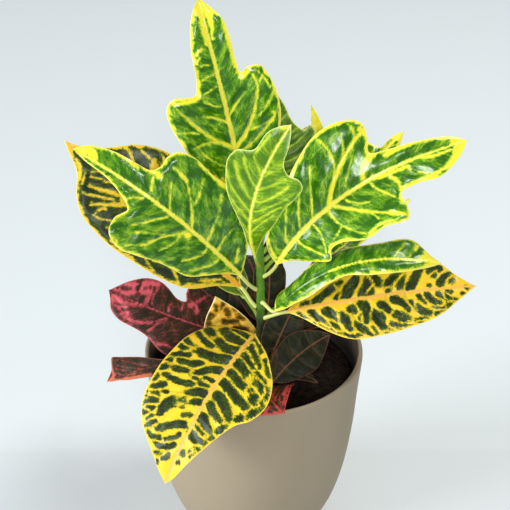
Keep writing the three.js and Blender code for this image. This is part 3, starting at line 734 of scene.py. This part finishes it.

# A family of leaves shares its three skins and the way that its blade is shaped and marked, and
# holds a slot name that nothing here reads. Bulge, wave, margin band, midrib and vein width are in
# millimetres, and so are the gap between islands and how far they have grown. tip_from is the
# share of the leaf from which its tip is pale, and veins how many even side veins a leaf without
# strokes of its own has.

GREENS = dict(slot="leaf_green", stalk=STALK_GREEN, under=UNDER_GREEN, wave=1.0)
GOLDS = dict(slot="leaf_gold", stalk=STALK_PALE, under=UNDER_BRONZE, veins=11, bulge=0.7,
             wave=1.0)
REDS = dict(slot="leaf_dark_red", stalk=STALK_RED, under=UNDER_BRONZE, tip_from=1.1)
LOOKS = {
    "green": dict(
        GREENS, stalk=STALK_PALE, veins=11, vein_width=0.5, bulge=1.3, margin=1.5, midrib=1.6,
        tip_from=0.9,
        skin=leaf_skin("leaf_green_yellow", GREEN_RAMP, (2.8, 1.8, -0.7, 0.8), (0.3, 0.13),
                       (2.7, 0.24), 0.2, 0.45, ("#f6e95a", 1.2), ("#f3ee7c", 0.5))),
    # The leaves at the back get a darker, duller green as painted shade.
    "shaded_green": dict(
        GREENS, veins=9, vein_width=0.2, bulge=0.8, margin=0.6, midrib=0.7, tip_from=1.0,
        skin=leaf_skin("leaf_green_painted_shade", SHADE_RAMP, (3.2, 2.0, -0.7, 0.9), (0.3, 0.1),
                       (3.2, 0.16), 0.34, 0.25, ("#c8cc50", 0.8), ("#cdd066", 0.5))),
    "smooth_green": dict(
        GREENS, stalk=STALK_PALE, bulge=1.2, margin=1.2, tip_from=0.94,
        skin=leaf_skin("leaf_green", MID_RAMP, (3.2, 2.0, -0.9, 0.9), (0.42, 0.1),
                       (3.2, 0.16), 0.2, 0.45, ("#f6e95a", 0.8), ("#f3ee7c", 0.5))),
    "lime": dict(
        GREENS, bulge=0.5, wave=0.4, margin=0.4, midrib=1.2, tip_from=0.98,
        skin=leaf_skin("leaf_lime", LIME_RAMP, (2.5, 1.5, -1.0, 1.1), (0.3, 0.15),
                       (2.3, 0.3), 0.3, 0.36, ("#f0ee6a", 1.1), ("#eef09a", 0.4))),
    "gold": dict(
        GOLDS, islands=True, margin=0.9, midrib=1.5, gap=0.55, grown=0.7,
        skin=leaf_skin("leaf_dark_gold", GOLD_RAMP, (3.4, 4.0, -0.9, 0.8), (0.1, 0.4),
                       (3.0, 0.16), 0.36, 0.2, ("#f0b654", 2.4), ("#f4dc5c", 0.5))),
    "gold_veined": dict(
        GOLDS, vein_width=0.9, margin=1.2, midrib=1.6, tip_from=0.93,
        skin=leaf_skin("leaf_dark_golden_veins", GOLD_RAMP, (4.0, 3.4, -0.9, 1.2), (0.1, 0.34),
                       (3.0, 0.16), 0.34, 0.25, ("#f0a838", 2.6), ("#f4dc5c", 0.5))),
    "amber": dict(
        GOLDS, islands=True, veins=7, wave=0.6, margin=0.2, midrib=0.5, gap=0.8, grown=0.5,
        skin=leaf_skin("leaf_amber", AMBER_RAMP, (3.5, 2.5, -1.8, 0.6), (0.1, 0.3),
                       (3.0, 0.2), 0.36, 0.25, None, ("#f2dc98", 0.8))),
    "red": dict(
        REDS, bulge=0.5, wave=0.8, margin=0.4, midrib=0.3,
        skin=leaf_skin("leaf_dark_pink", RED_RAMP, (4.2, 3.2, -0.9, 1.2), (0.2, 0.24),
                       (4.4, 0.3), 0.42, 0.3, None, ("#b0584a", 0.4))),
    "brown": dict(
        REDS, bulge=0.3, wave=0.5, margin=0.3, midrib=0.1,
        skin=leaf_skin("leaf_brown", BROWN_RAMP, (2.2, 1.8, -0.8, 0.5), (0.12, 0.2),
                       (3.0, 0.2), 0.42, 0.3, None, ("#c07050", 0.4))),
    "scarlet": dict(
        REDS, bulge=0.4, wave=0.6, margin=1.2, midrib=0.1, tip_from=0.97,
        skin=leaf_skin("leaf_scarlet", SCARLET_RAMP, (2.6, 2.2, -0.8, 0.6), (0.16, 0.3),
                       (3.0, 0.2), 0.42, 0.3, None, ("#b8403c", 0.5))),
    "dark": dict(
        REDS, veins=5, vein_width=0.02, bulge=0.35, wave=0.6, margin=0.1, midrib=0.6,
        skin=leaf_skin("leaf_dim_green", DARK_RAMP, (0.9, 0.7, -0.5, 0.7), (0.4, 0.16),
                       (4.4, 0.2), 0.5, 0.12, ("#7a4a34", 0.9), ("#6c4034", 0.5))),
}

# ---- Leaves: outlines -----------------------------------------------------------------------
# A leaf is drawn flat first, in hundredths of its length. Each row is one pair of side ribs:
# where they leave the midrib, then how far along and how far out they reach the margin, on
# the left and on the right. The margin is a smooth curve through the rows.


def table(text):
    """The rows of numbers of a text, in which commas part the rows."""
    return np.array([row.split() for row in text.split(",")], float)


def outline(rows):
    """An outline from its rows, or their text, with the leaf's base and its tip added."""
    rows = table(rows) if isinstance(rows, str) else rows
    return np.vstack([(0, 0, 0, 0, 0), rows, (100, 100, 0, 100, 0)])


def oval(out, widest=42, rows=8):
    """A plain pointed oval: its reach follows a sine that peaks where the ribs start at widest."""
    power = np.log(0.5) / np.log(widest / 100)
    start = np.linspace(0.06, 0.94, rows)
    reach = out * np.sin(np.pi * start ** power) ** 0.75
    along = 100 * start + 0.55 * reach * np.minimum(1, start / 0.3) * (1 - start)
    return outline(np.stack([100 * start, along, reach, along, reach], -1))


OAK = outline("""
    2 8 10 8 10, 7 18 20 18 20, 14 31 26 29 25, 22 42 29 41 26, 30 49 28 51 24, 37 52 24 57 21,
    42 51 18 58 15, 46 51 13 56 11, 53 58 11 62 10, 63 70 10 72 10, 76 82 8 84 9, 89 93 4 94 4""")
OAK_HOOKED = outline("""
    2 6 4 4 6, 5 14 11 10 13, 10 21 17 18 18, 17 30 19 30 25, 25 38 21 42 25, 33 47 24 52 26,
    41 56 26 59 24, 48 64 23 62 19, 55 66 16 62 14, 60 63 10 65 10, 67 70 6 73 9, 78 81 3 84 8,
    90 92 2 94 5""")
OAK_YOUNG = outline("""
    9 15 2 10 4, 20 28 4 24 10, 29 40 9 36 15, 38 52 16 48 18, 48 62 20 60 22, 57 70 22 70 24,
    65 76 19 75 20, 71 78 13 75 13, 77 81 10 80 8, 86 90 9 89 6, 94 96 5 96 3""")
OAK_LONG = outline("""
    3 6 8 6 4, 7 14 12 13 11, 14 22 15 22 17, 20 30 18 27 14, 27 40 23 34 15, 35 50 27 45 20,
    43 60 27 56 20, 50 67 23 66 22, 55 67 16 69 17, 59 65 10 69 11, 66 71 8 76 10,
    78 83 6 86 11, 90 94 4 95 6""")
ARCHING = outline("""
    1 2 8 3 2, 7 12 8 12 5, 16 22 8 22 7, 30 36 11 34 7, 45 50 12 48 6, 60 65 11 62 7,
    72 76 12 74 8, 84 88 13 85 6, 93 94 9 94 3""")
SPREAD = outline("""
    3 8 7 8 5, 10 22 15 20 14, 22 38 19 32 20, 36 52 20 46 20, 50 66 18 60 18, 66 80 14 76 14,
    84 91 6 90 6""")
HEART = outline("""
    2 6 5 0 8, 6 13 12 1 17, 11 22 19 6 24, 18 31 25 18 27, 28 42 28 33 29, 40 51 25 49 29,
    50 57 19 61 29, 60 66 14 71 27, 70 76 10 80 23, 82 87 6 89 14, 92 95 3 96 7""")
WAISTED = outline("""
    3 8 6 8 8, 8 17 15 17 15, 16 28 19 28 20, 26 42 21 42 24, 38 54 22 55 25, 50 65 21 65 23,
    60 73 19 74 18, 70 80 14 81 11, 80 86 7 88 5, 90 94 3 94 2""")
LOBED = outline("""
    3 8 12 8 12, 9 20 22 19 22, 16 33 27 30 27, 23 43 27 38 26, 30 50 25 40 20, 36 55 22 39 14,
    42 60 19 46 14, 52 67 17 55 18, 63 76 16 65 20, 75 84 15 76 18, 87 92 11 88 11, 95 96 5 95 5""")
BLUNT = outline("""
    15 20 7 20 4, 35 38 10 38 7, 55 56 9 56 13, 72 74 7 74 18, 84 85 4 84 21, 90 90 3 87 18,
    95 95 2 90 9""")
SMALL = outline("""
    10 6 34 6 54, 35 32 34 32 50, 60 58 24 58 34, 82 80 11 80 16""")
CURLED = table("""
    0 -1 2 0 2, 5 -8 38 5 42, 20 5 37 30 54, 40 25 30 60 52, 60 47 21 80 42, 78 70 12 90 22,
    92 92 3 97 6, 100 100 0 100 0""")
NOTCHED = outline("""
    6 14 14 14 16, 14 26 22 28 30, 24 40 26 42 38, 34 52 26 54 41, 42 60 22 60 37,
    47 64 17 56 31, 56 70 13 65 21, 72 82 10 81 15, 88 93 5 93 8""")
SLENDER = outline("""
    10 18 7 18 7, 30 40 10 40 10, 50 58 11 58 10, 68 74 9 74 8, 80 84 4 84 6, 92 94 2 94 3""")
EARED = outline("""
    8 18 8 18 8, 20 34 13 34 12, 34 52 18 48 14, 46 65 20 60 13, 55 71 13 70 10, 62 75 4 77 8,
    74 83 4 86 7, 90 94 3 95 3""")

# The patterns of the leaves that show best, in hundredths of the leaf's length. A row is one
# stroke: its start, a point half way and its end, each along and out with out negative on the
# left, then its half-width. Strokes are pale, and those of a negative half-width are laid over
# them in dark again, while the rows of a table of islands are the dark parts themselves.

TOP_STROKES = table("""
    22 -1 30 -11 41 -20 .95, 40 -19 43 -21 47 -24 .4, 23 -3 27 -10 27 -20 .5,
    34 -1 38 -7 40 -12 .5, 42 -2 44 -6 47 -10 .35, 33 -16 35 -21 36 -26 .3,
    14 -4 17 -10 24 -17 .35, 49 -13 49 -18 50 -25 1.2, 50 -12 54 -11 60 -10 1.1,
    70 -8 72 -5 71 -3 .7, 66 -9 67 -8 68 -7 .9, 50 -9 51 -6 52 -2 .3, 57 -8 58 -5 58 -2 .3,
    64 -7 64 -5 63 -2 .3, 22 1 31 10 43 16 .95, 43 16 49 17 54 16 .6, 47 17 50 19 53 21 .35,
    37 1 42 6 46 11 .5, 20 4 24 12 30 20 .6, 30 20 32 22 34 22 .7, 33 13 37 19 43 24 .35,
    28 8 29 14 30 20 .25, 54 11 55 13 56 15 1.5, 60 9.5 72 9 85 8.5 1.3, 46 23 51 21 56 18 .5,
    94 0 84 -1 74 -1.5 1.7, 93 2 85 3 76 2 1.5, 86 -6 83 -5 79 -3 -.8, 80 -6 76 -5 71 -2.6 -.9,
    86 7 82 5 77 3 -1.1, 76 6.5 74 4 71 2.6 -.6""")
UPPER_LEFT_STROKES = table("""
    34 -2 40 -8 47 -18 .7, 47 -18 50 -20 54 -23 .4, 53 -15.5 53.5 -15.5 54 -15.6 .8,
    53 -15 47 -12 42 -9 .35, 33 -2.6 33.5 -2.6 34 -2.4 1.6, 46 -2 52 -9 58 -15 .5,
    36 -5 36.5 -10 40 -16 .35, 22 -2 23 -7 28 -13 .35, 14 -2 17 -8 22 -14 .3,
    60 -2 64 -4 66 -6 .4, 49 -26 54 -26 59 -24 .7, 33 0 40 8 49 15.5 .7,
    49 15.5 53 16.5 57 17 1, 40 9 41 14 44 21 .5, 24 2 25.5 5 27 8.5 .9, 27 9 30 15 34 21 .4,
    46 0 50 5 54 11 .5, 17 1 19 7 19 13 .45, 7 3 9 5.5 11 8 .8, 59 3 61 6 62 9 .4,
    60 10 62 10.5 64 9.5 1.4, 33 24.5 42 24.5 50 25 1, 70 8 76 8 84 8 .9, 90 2 93 3 96 2 2.2,
    66 -3 76 -1.8 88 -1.6 -.7""")
CENTRE_STROKES = table("""
    50 -1 57 -8 70 -18 .5, 59 -1 64 -6 73 -14 .4, 42 -1 49 -8 61 -19 .4, 34 -1 41 -6 51 -15 .4,
    25 -1 32 -5 41 -10 .4, 67 -1 71 -4 76 -9 .4, 50 1 54 8 68 16 .7, 59 1 63 6 72 13 .4,
    42 1 47 8 59 18 .4, 34 1 40 7 51 16 .4, 26 1 33 6 43 13 .4, 68 1 72 4 75 8 .4,
    79 -9 84 -8 90 -7 .7""")
UPPER_RIGHT_STROKES = table("""
    40 -1 51 -10 66 -19 1, 54 -11 57 -16 59 -22 .5, 49 -9 52 -17 51 -25 .45,
    30 -1 36 -8 43 -18 .4, 22 -1 28 -7 36 -15 .35, 60 -15 63 -19 63 -24 .4,
    50 -3 53 -6 58 -11 .35, 66 -9 61 -6 58 -2 1.5, 12 -1 17 -5 25 -11 .3,
    66 -20 67 -17 66 -12 1.2, 70 -6 80 -6 93 -4 1, 3 -2 6 -6 9 -9 .8, 62 0 68 1.5 76 2 1.2,
    41 1 50 9 61 16 .85, 61 16 64 18 67 20 1, 52 10.5 54 13 55 16 .4, 47 2 51 6 56 8 .35,
    38 1 38.5 9 46 18 .5, 39 9 35 11 31 11.5 .4, 28 1 27.5 7 23 14 .45, 17 1 18 7 22 14 .55,
    60 1 61 5 66 11 .5, 30 13 28 12.5 26 13.5 .6, 48 19 55 18 62 20 .7, 68 3 70 7 68 12 .8,
    75 9.5 82 9.5 90 8 1.2, 76 3 79 6 83 9 .5, 83 1 87 2 93 2 .8, 98 0 94 4.5 89 8 1.4,
    93 -1.2 82 -1.4 70 -1.7 -1.1, 78 4.5 77 5.5 76 6.5 -1.3, 71 3 72 4 73 6 -.8,
    85 4.5 86.5 5.5 88 6 -1.4""")
RIGHT_ARCHING_STROKES = table("""
    94 .4 70 .6 40 .3 .9, 84 -1 87 -4 90 -9 .4, 88 -6 90 -9 92 -12 1, 20 3 22 4 24 6 .3,
    38 2.5 38.4 2.6 38.6 2.6 .4, 77 -1 80 -5 84 -10 .25, 92 -1 95 -4 97 -6 2.4,
    93 2 96 2 99 0 1.4, 70 6.5 80 7 90 4 .6, 93 1.5 88 2.2 82 2.6 -.5, 87 -2 86.5 -4 87 -6 -.9,
    92 -4 91.5 -5 91 -6 -.4""")
DROOPING_ISLANDS = table("""
    15.5 1.5 17.5 7 12 15 2.1, 10 1.5 9 8 5 14 2.4, 12 16 10 19 8 22 1.7,
    5 1.8 3.4 5 2.6 10.5 1.1, 19.5 14 17 20 13 25 1.1, 24.5 2.5 26.5 12 25 20 2.2,
    25 20 23.5 24 21 26.5 1.2, 32.5 2.5 35 7 41 12.5 1.6, 43.5 4 43.6 9 41 13 1.1,
    40 2.5 40.3 4 40.5 6 .9, 33.5 13 36 17 36.5 22 1.7, 40.5 17 42 20 43 23.5 1.6,
    43.5 25 44.5 26 46 27.5 1.5, 31 21 33 24 35 27 1.3, 28 23 28 25 27 27 1.1,
    38 26 38.5 27 39 27.5 .9, 46 10.5 48.6 16 48.5 24 1.4, 48.5 3 51 8 58 12 1.8,
    56 10 62 15 69 17.5 2.2, 54 3 55 5 56 6.5 1.3, 60 8.5 60 9.5 60 11 .7,
    51.5 27.5 53 27.6 54 27 1.2, 54.5 22 56 24.5 58.5 26 1.3, 57 19 57.5 19.5 58 20 .7,
    60.5 22 61 24 61.5 26 .8, 62 27.5 63 27.6 64.5 27.3 .7, 64.5 22 66.5 24.5 69.5 27 1.4,
    69 20.5 69.6 22 70 24 1.3, 73 23.5 73.5 24 74.5 24.5 1, 62.5 3.5 63.3 5 64.3 6.5 .8,
    68.5 4 71 8 77 14 1.4, 74 3.5 77 5 80.5 9 .6, 75 17.5 77.5 18.8 80 20 1,
    73 20 74.5 21 76 21.5 .7, 80.5 4 83.5 7 85 12 1, 81 12 82.5 15.5 81 19 .9,
    86.5 4 88 5 89.5 6.5 .8, 93 8 92.7 8 92 8.2 .5, 87.5 7.5 88.3 9.5 89.3 11 .45,
    5 -2 9 -5.5 14.5 -10.2 .6, 19 -14.6 23.5 -18.2 27.5 -21.6 .7, 34 -23.5 37 -25 40.5 -26 .7,
    10 -2.8 15 -6 24 -14.5 1.2, 17.5 -3 20 -6 25 -12 1.4, 24 -3 28 -8 31.5 -14 1.7,
    31 -13.5 33 -18 36 -23 1.4, 27 -14 29.5 -18 31 -21 .6, 31.5 -3.2 35.5 -9 39.5 -17 1.8,
    38.5 -16.5 40.5 -20 43 -24 2, 38 -3.6 42 -10 46.5 -19 2, 42 -24.6 45 -25 49.5 -22.5 1.8,
    46.5 -4 49.5 -9 55 -15 2, 52.5 -3 56 -7 57.5 -12 1.3, 51 -20.5 52.5 -19.5 54 -18 1.2,
    60.5 -2.5 63 -5.5 66.5 -11 2, 65.6 -2.6 67 -5 67 -9 .8, 64 -13 62 -13.6 59 -15 1,
    70.5 -1.8 71.7 -5 72 -10 1.7, 76.5 -7 75 -8 73 -9.2 .7, 79.5 -4.5 78 -5.5 77 -6.5 .4,
    81.3 -2.4 81.2 -2.7 81 -3 1.1, 80.4 -6.8 80 -7 79 -7.2 .5, 87 -1.4 86.6 -2 86 -2.4 .4""")
SPREAD_ISLANDS = table("""
    9 -2 10 -2.1 11.5 -2.2 .8, 15.5 -2.2 19.5 -4.6 24.5 -7.8 1.4, 25.5 -2 26.5 -2.8 28 -4 .6,
    27 -9 28 -9.5 29 -10 .8, 30.5 -2.6 33.5 -6.5 36.5 -9.8 2.1, 39 -2.2 41.5 -5.5 43 -9.6 1.4,
    43 -2.2 43.5 -2.6 44 -3 1.1, 48 -6 47 -9 44.5 -10.2 1.2, 52.5 -2.2 52.4 -2.3 52.2 -2.5 1.1,
    52.5 -5 55.5 -8 60 -9.4 1.3, 58.5 -3 60 -6 61.5 -9 1.1, 64 -2.3 66 -5 70 -10 1.7,
    75.5 -9.6 79 -11.5 81.5 -10 1.2, 77.5 -7 77.6 -7.1 77.8 -7.4 .9,
    80 -2.8 83 -5.5 87.5 -7 1.3, 86 -3.6 87 -4.5 87.8 -6 .9, 73.8 -2 74 -2.1 74.3 -2.2 .4,
    12.5 2.5 16 6.5 20.5 11.5 .9, 6 2 9 5 13.5 9 .35, 20.3 3.6 22.5 5.5 24.5 8 1.6,
    22.8 11 23.7 12.3 25 13.8 .8, 27.8 8 29.8 11 31.3 14.8 1.6, 32.5 4.5 34 5.2 35 7.5 1.2,
    38.4 3.6 39.8 7 39 11.5 1.9, 36.5 8.5 36.4 10 36.5 11 1, 34.6 13 37.5 16 40.5 18.4 1.5,
    44.5 9.5 46.3 12.5 46.8 16.5 2.2, 42.5 16.5 43.2 18 44.5 19 .9, 47.5 5 49 6 51 8 1.4,
    55 11 58 12.7 61.5 14.3 1.5, 51 15 55 16.3 61 17 .6, 50 18 53 18.8 58 18.6 .5,
    54.5 3 57.5 4.7 61 8.5 1.3, 66.5 8 69 11 72 11.6 1.4, 62 14.6 66 14.7 70 14 .5,
    63.4 5 64 7 65.4 9.5 .5, 65 16.2 67 16.3 69 15.8 .5, 67.5 3 68.5 4.5 70 6.5 .8,
    72 3 75 6 78.5 7.6 1.1, 80 9.6 77 9.8 74 9 .6, 75 12.5 77 12 79.5 11.4 .7,
    78 2.8 79 3.6 80.3 4.6 .9, 82 4.4 83 5.2 84.5 6 .8, 83 1.6 84 1.8 85.5 2.2 .4,
    86 7.6 83.5 8.4 81.5 8.4 .6, 87 6 87.6 6.4 88.4 6.6 .5, 91.3 3.6 91.7 3.8 92 4 .5,
    94.5 .6 95 1 95.6 1.6 .6, 17 10.2 21 13 25.5 16.2 .4, 29 17 33 18.3 37 18.8 .5,
    46 18.6 49 18.8 52 18.4 .5""")
LEFT_RED_STROKES = table("""
    93 -3 86 -6 79 -10 3.8, 92 3 82 8 71 10 5, 76 13 71 16 64 17 2.4, 84 -3 78 -2 71 0 1.6,
    84 -11 80 -12 77 -11 1, 69 2 68 8 68 13 1.4, 36 12 32 13 30.5 8 1.9, 32 15 27 20 23 24 .9,
    57 -8 54 -5 51 -3 .8, 51 3 51.6 5 51 8 .5, 64 3 65 9 63 15 .4, 78 -12 70 -12 60 -9 .8,
    61 -15 59 -12 57 -9 .5, 59 -19 55 -23 50 -26 .9, 80 -16 72 -16.5 64 -18 .5,
    52 -21 47 -20.5 42 -21 .5, 42 7 41 10 40 13 .5, 99 .3 90 .3 80 1.3 -1.2,
    92 -7 89 -6 85 -5 -.8, 84 -8 81 -7 79 -6 -1, 90 5.5 86.5 6.5 84 7 -1.6,
    79.5 9 78.5 10.5 78 12 -2, 79 4.5 77.5 5.5 76 6.5 -.9, 73 11.5 70.5 12.5 68 13 -1,
    74 -1 75 -2 77 -3 -1, 76 -9 70 -6 64 -4 -1.8, 95 4 93 5 91 6 -.8""")
LEFT_DARK_STROKES = table("""
    58 -3 65 -8 72 -13.5 .9, 66 -11 67.5 -13 68 -16.5 .5, 67 -16 64 -15.5 61 -13.5 .25,
    63 -2 70 -5 77.5 -8 .9, 66 -6 72 -9 78 -12 .4, 70 -.5 75 -2.5 80 -4.5 .4,
    74 1 78 0 81 -2.5 .35, 62 -3.4 63 -2.8 65 -2 1.7, 84 -8 86 -5 90 -3 1.1,
    81 -9 82 -7 83 -5 .4, 92 2 90 3 86 4 1.8, 60 15 61.5 16 63 17.5 2, 61 17 65 17.3 70 17.6 .5,
    58 20 60 20.5 62 22 .6, 70 11.5 72 12.8 74.5 14.5 .6, 73 14 76 14 78 13.4 .35,
    34 -20 26 -19.5 18 -15.5 1.1, 18 -15.5 10 -8 3 -1.5 1.7, 30 -12 25 -14 22 -16 .4,
    40 -16 37 -17.5 33 -18.5 .3, 15 -9 12 -6 9 -3 .6, 20 -4 27 -9 36 -15 .6,
    30 -2 38 -9 47 -16 .6, 42 -2 50 -9 60 -17 .6, 20 4 26 10 34 18 .7, 32 3 39 11 48 20 .7,
    46 3 52 10 60 19 .6, 10 3 14 8 20 14 .6, 55 -20 45 -20.5 36 -20 .4, 8 3 20 16 34 22 .7""")
LEFT_LOW_STROKES = table("""
    50 -8.5 74 -6 98 -.5 3.4, 90 3 89 10 86 19 1.8, 96 -1 92 1 88 4 2.6, 56 0 68 4 82 11 .35,
    63 -1 72 2 84 8 .35, 50 2 62 7 76 15 .25, 76 -3 80 0 84 3 .4, 74 -2 66 -2.5 58 -3 .9,
    82 16 72 16.5 62 14 .4""")
SMALL_ISLANDS = table("""
    60 -15 52 -22 42 -24 3.6, 66 12 58 14 48 14 2, 42 6 40 16 36 26 3.6, 52 32 46 34 40 40 2.2,
    84 12 78 10 70 5 1.1, 24 24 20 32 14 40 4.2, 80 -4 74 -3 68 -4 .8, 30 -20 24 -14 14 -10 4,
    64 28 60 30 56 32 .8""")
FRONT_RED_STROKES = table("""
    100 2 84 4 66 5 1.6, 94 20 88 18 80 12 2.6, 60 -10 40 -19 20 -28 2.4,
    84 -3 72 -8 60 -12 1.6, 78 -2 70 -3 62 -5 .9, 70 2 60 -2 44 -10 .8, 60 2 44 -4 24 -14 .9,
    96 6 90 10 86 12 .8, 50 0 30 0 6 0 1.2""")

# The grooves of the drooping leaf's side veins, written in the same way without the widths.

DROOPING_GROOVES = table("""
    10 0 15 -9 24 -20, 18 0 23 -10 32 -23, 26 0 31 -9 40 -25, 34 0 40 -10 46 -24,
    41 0 46 -9 52 -20, 48 0 52 -8 57 -15, 55 0 59 -7 63 -13, 62 0 65 -6 68 -12,
    69 0 72 -5 75 -10, 76 0 79 -4 82 -7, 8 0 9 8 12 20, 18 0 21 11 23 26, 26 0 30 9 33 25,
    34 0 38 9 40 25, 41 0 48 9 68 21, 43 0 46 12 48 27, 51 0 58 8 74 14, 60 0 65 5 72 9,
    70 0 78 7 86 13, 78 0 84 5 90 8, 50 0 54 14 58 26, 64 0 70 17 76 23""")

# ---- Leaves: places -------------------------------------------------------------------------
# Each leaf's stalk leaves the stem at a height and a bearing. Base, middle and tip are three
# points of its blade's midrib, face is the way its upper side looks, and fold is how far each
# half is raised, in degrees.

FINE = (210, 50)


def leaf_of(look, stem, base, middle, tip, face, fold, outline, **own):
    """A leaf: its look's values, its place and shape, and the values that are its own."""
    return {**LOOKS[look], "stem": stem, "base": base, "middle": middle, "tip": tip,
            "face": face, "fold": fold, "outline": outline, **own}


LEAVES = {
    "top": leaf_of("green", (210, 130), (-5, 12, 239), (-19, 20, 304), (-32, 32, 355),
        (0.1, -0.8, 0.6), 8, OAK, marks=TOP_STROKES, grid=FINE),
    "upper_left": leaf_of("smooth_green", (179, 205), (-8, -6, 192), (-53, -14, 244),
        (-105, 2, 274), (-0.15, -0.75, 0.65), 6, OAK_HOOKED, midrib=1.5, marks=UPPER_LEFT_STROKES,
        grid=FINE),
    "centre": leaf_of("lime", (197, 255), (1, -8, 206), (0, -22, 253), (21, -14, 297),
        (0, -0.9, 0.3), 5, OAK_YOUNG, marks=CENTRE_STROKES, grid=FINE),
    "upper_right": leaf_of("green", (189, 325), (14, -6, 200), (56, -8, 251), (125, 8, 277),
        (0.1, -0.75, 0.65), 6, OAK_LONG, tip_from=0.95, marks=UPPER_RIGHT_STROKES, grid=FINE),
    "right_arching": leaf_of("smooth_green", (170, 290), (13, -12, 170), (54, -26, 212),
        (111, -22, 211), (0.1, -0.4, 0.9), -12, ARCHING, midrib=-1.5, marks=RIGHT_ARCHING_STROKES,
        grid=(180, 40)),
    "right_spread": leaf_of("gold", (158, 320), (20, -10, 168), (79, -20, 187), (136, -10, 187),
        (0.1, -0.65, 0.75), 0, SPREAD, marks=SPREAD_ISLANDS, grid=(190, 44)),
    "front_drooping": leaf_of("gold", (149, 255), (1, -14, 154), (-27, -72, 149), (-52, -94, 103),
        (-0.25, -0.6, 0.75), 4, HEART, stalk=STALK_DARK, marks=DROOPING_ISLANDS,
        grooves=DROOPING_GROOVES, grid=FINE),
    "left_dark": leaf_of("gold_veined", (165, 170), (-8, 4, 177), (-63, 8, 229), (-113, 20, 271),
        (-0.2, -0.7, 0.7), 4, WAISTED, marks=LEFT_DARK_STROKES, grid=(180, 40)),
    "left_red": leaf_of("red", (134, 150), (-12, 12, 133), (-54, -2, 160), (-90, -4, 180),
        (-0.2, -0.6, 0.8), 0, LOBED, marks=LEFT_RED_STROKES, grid=(180, 40)),
    "left_low": leaf_of("brown", (128, 215), (-34, -20, 137), (-65, -33, 142), (-90, -39, 136),
        (-0.3, -0.7, 0.6), 0, BLUNT, marks=LEFT_LOW_STROKES, grid=(150, 34)),
    "small_orange": leaf_of("amber", (141, 190), (-18, -1, 139), (-21, -2, 158), (-24, -2, 174),
        (0, -0.85, 0.5), 0, SMALL, marks=SMALL_ISLANDS, grid=(120, 44)),
    "behind_stem": leaf_of("dark", (148.5, 75), (8, 8, 151), (10, 13, 177), (8, 20, 202),
        (0.1, -0.9, 0.4), -6, oval(20)),
    "inner_dark": leaf_of("dark", (128, 335), (11, -8, 129), (18, -4, 149), (31, 10, 171),
        (0.15, -0.85, 0.45), 0, oval(24)),
    "low_dark": leaf_of("dark", (123, 290), (12, -29, 128), (29, -16, 140), (48, -5, 147),
        (-0.1, -0.8, 0.6), 0, oval(29)),
    "low_right": leaf_of("dark", (128, 25), (15, 9, 131), (38, 15, 138), (59, 20, 137),
        (0.1, -0.7, 0.7), 0, oval(22)),
    "front_red": leaf_of("scarlet", (119.5, 245), (4, -27, 121), (11, -57, 140), (18, -76, 141),
        (0, -0.1, 1), 0, CURLED, marks=FRONT_RED_STROKES, grid=(130, 40)),
    "low_wilted": leaf_of("dark", (118, 350), (19, -8, 118), (30, -12, 121), (41, -17, 118),
        (0, 0, 1), 0, oval(25)),
    "behind_top": leaf_of("shaded_green", (208, 75), (11, 22, 237), (11, 34, 265), (6, 48, 296),
        (0.1, -0.8, 0.6), 5, NOTCHED),
    "narrow_top": leaf_of("green", (204, 42), (34, 26, 217), (40, 36, 246), (35, 48, 282),
        (0.1, -0.85, 0.5), 10, SLENDER, tip_from=0.5, stalk=STALK_GREEN),
    "behind_right": leaf_of("green", (199, 15), (40, 18, 221), (67, 30, 245), (93, 46, 265),
        (0.1, -0.7, 0.7), 6, EARED, stalk=STALK_GREEN),
    "under_right": leaf_of("green", (154, 40), (32, 12, 177), (60, 24, 198), (99, 40, 221),
        (0.2, 0.3, 1), 6, oval(20), stalk=STALK_GREEN),
    "back_high": leaf_of("shaded_green", (194, 105), (0, 14, 208), (-6, 62, 226), (-13, 106, 206),
        (0, -0.2, 1), 8, OAK),
    "back_left": leaf_of("shaded_green", (156, 130), (-6, 12, 165), (-44, 48, 182), (-80, 86, 172),
        (-0.3, 0.4, 1), 8, oval(24)),
    "back_right": leaf_of("shaded_green", (190, 50), (22, 16, 201), (50, 48, 211), (82, 86, 198),
        (0.2, 0.2, 1), 4, oval(24, 50)),
    "low_back_right": leaf_of("gold_veined", (144, 30), (19, 14, 152), (60, 30, 162),
        (100, 50, 150), (0.2, 0, 1), 6, oval(22)),
    "low_back_left": leaf_of("dark", (131, 110), (-13, 27, 139), (-29, 33, 152), (-43, 38, 151),
        (-0.1, -0.6, 0.8), 6, oval(28, 32)),
    "low_back": leaf_of("dark", (136, 80), (6, 14, 142), (0, 52, 158), (-8, 90, 148),
        (0, 0.5, 0.8), 6, oval(26)),
}

for seed, (name, leaf) in enumerate(LEAVES.items()):
    blade = grow("blade_" + name, leaf, seed)
    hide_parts("leaf_" + name)

# The stem's skin, which waits for the stalks: it swells where each of them leaves it, and it is
# rounded over at the top.

STEM_SIDES = 24
STEM_CAP = 1.5          # how far it rises past the top of its line
SWELLING = (0.22, 1.3)  # height and half-width

stem_heights = np.linspace(STEM_LINE[0][2], STEM_LINE[-1][2] + STEM_CAP, 240)
stem_middle, stem_radii = map(np.array, zip(*map(stem_at, stem_heights)))
joints = np.array([leaf["stem"][0] for leaf in LEAVES.values()])
stem_radii = stem_radii + SWELLING[0] * hump(stem_heights[:, None] - joints, SWELLING[1]).max(1)
stem_radii *= np.sqrt(np.clip((stem_heights[-1] + 0.01 - stem_heights) / 2.5, 0, 1))
stem_radii[[0, -1]] = 0.02
stem_rings = tube(stem_middle, stem_radii, STEM_SIDES)
stem = new_piece("stem_bark", stem_rings, tube_faces(stem_rings), [bark])
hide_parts("stem")
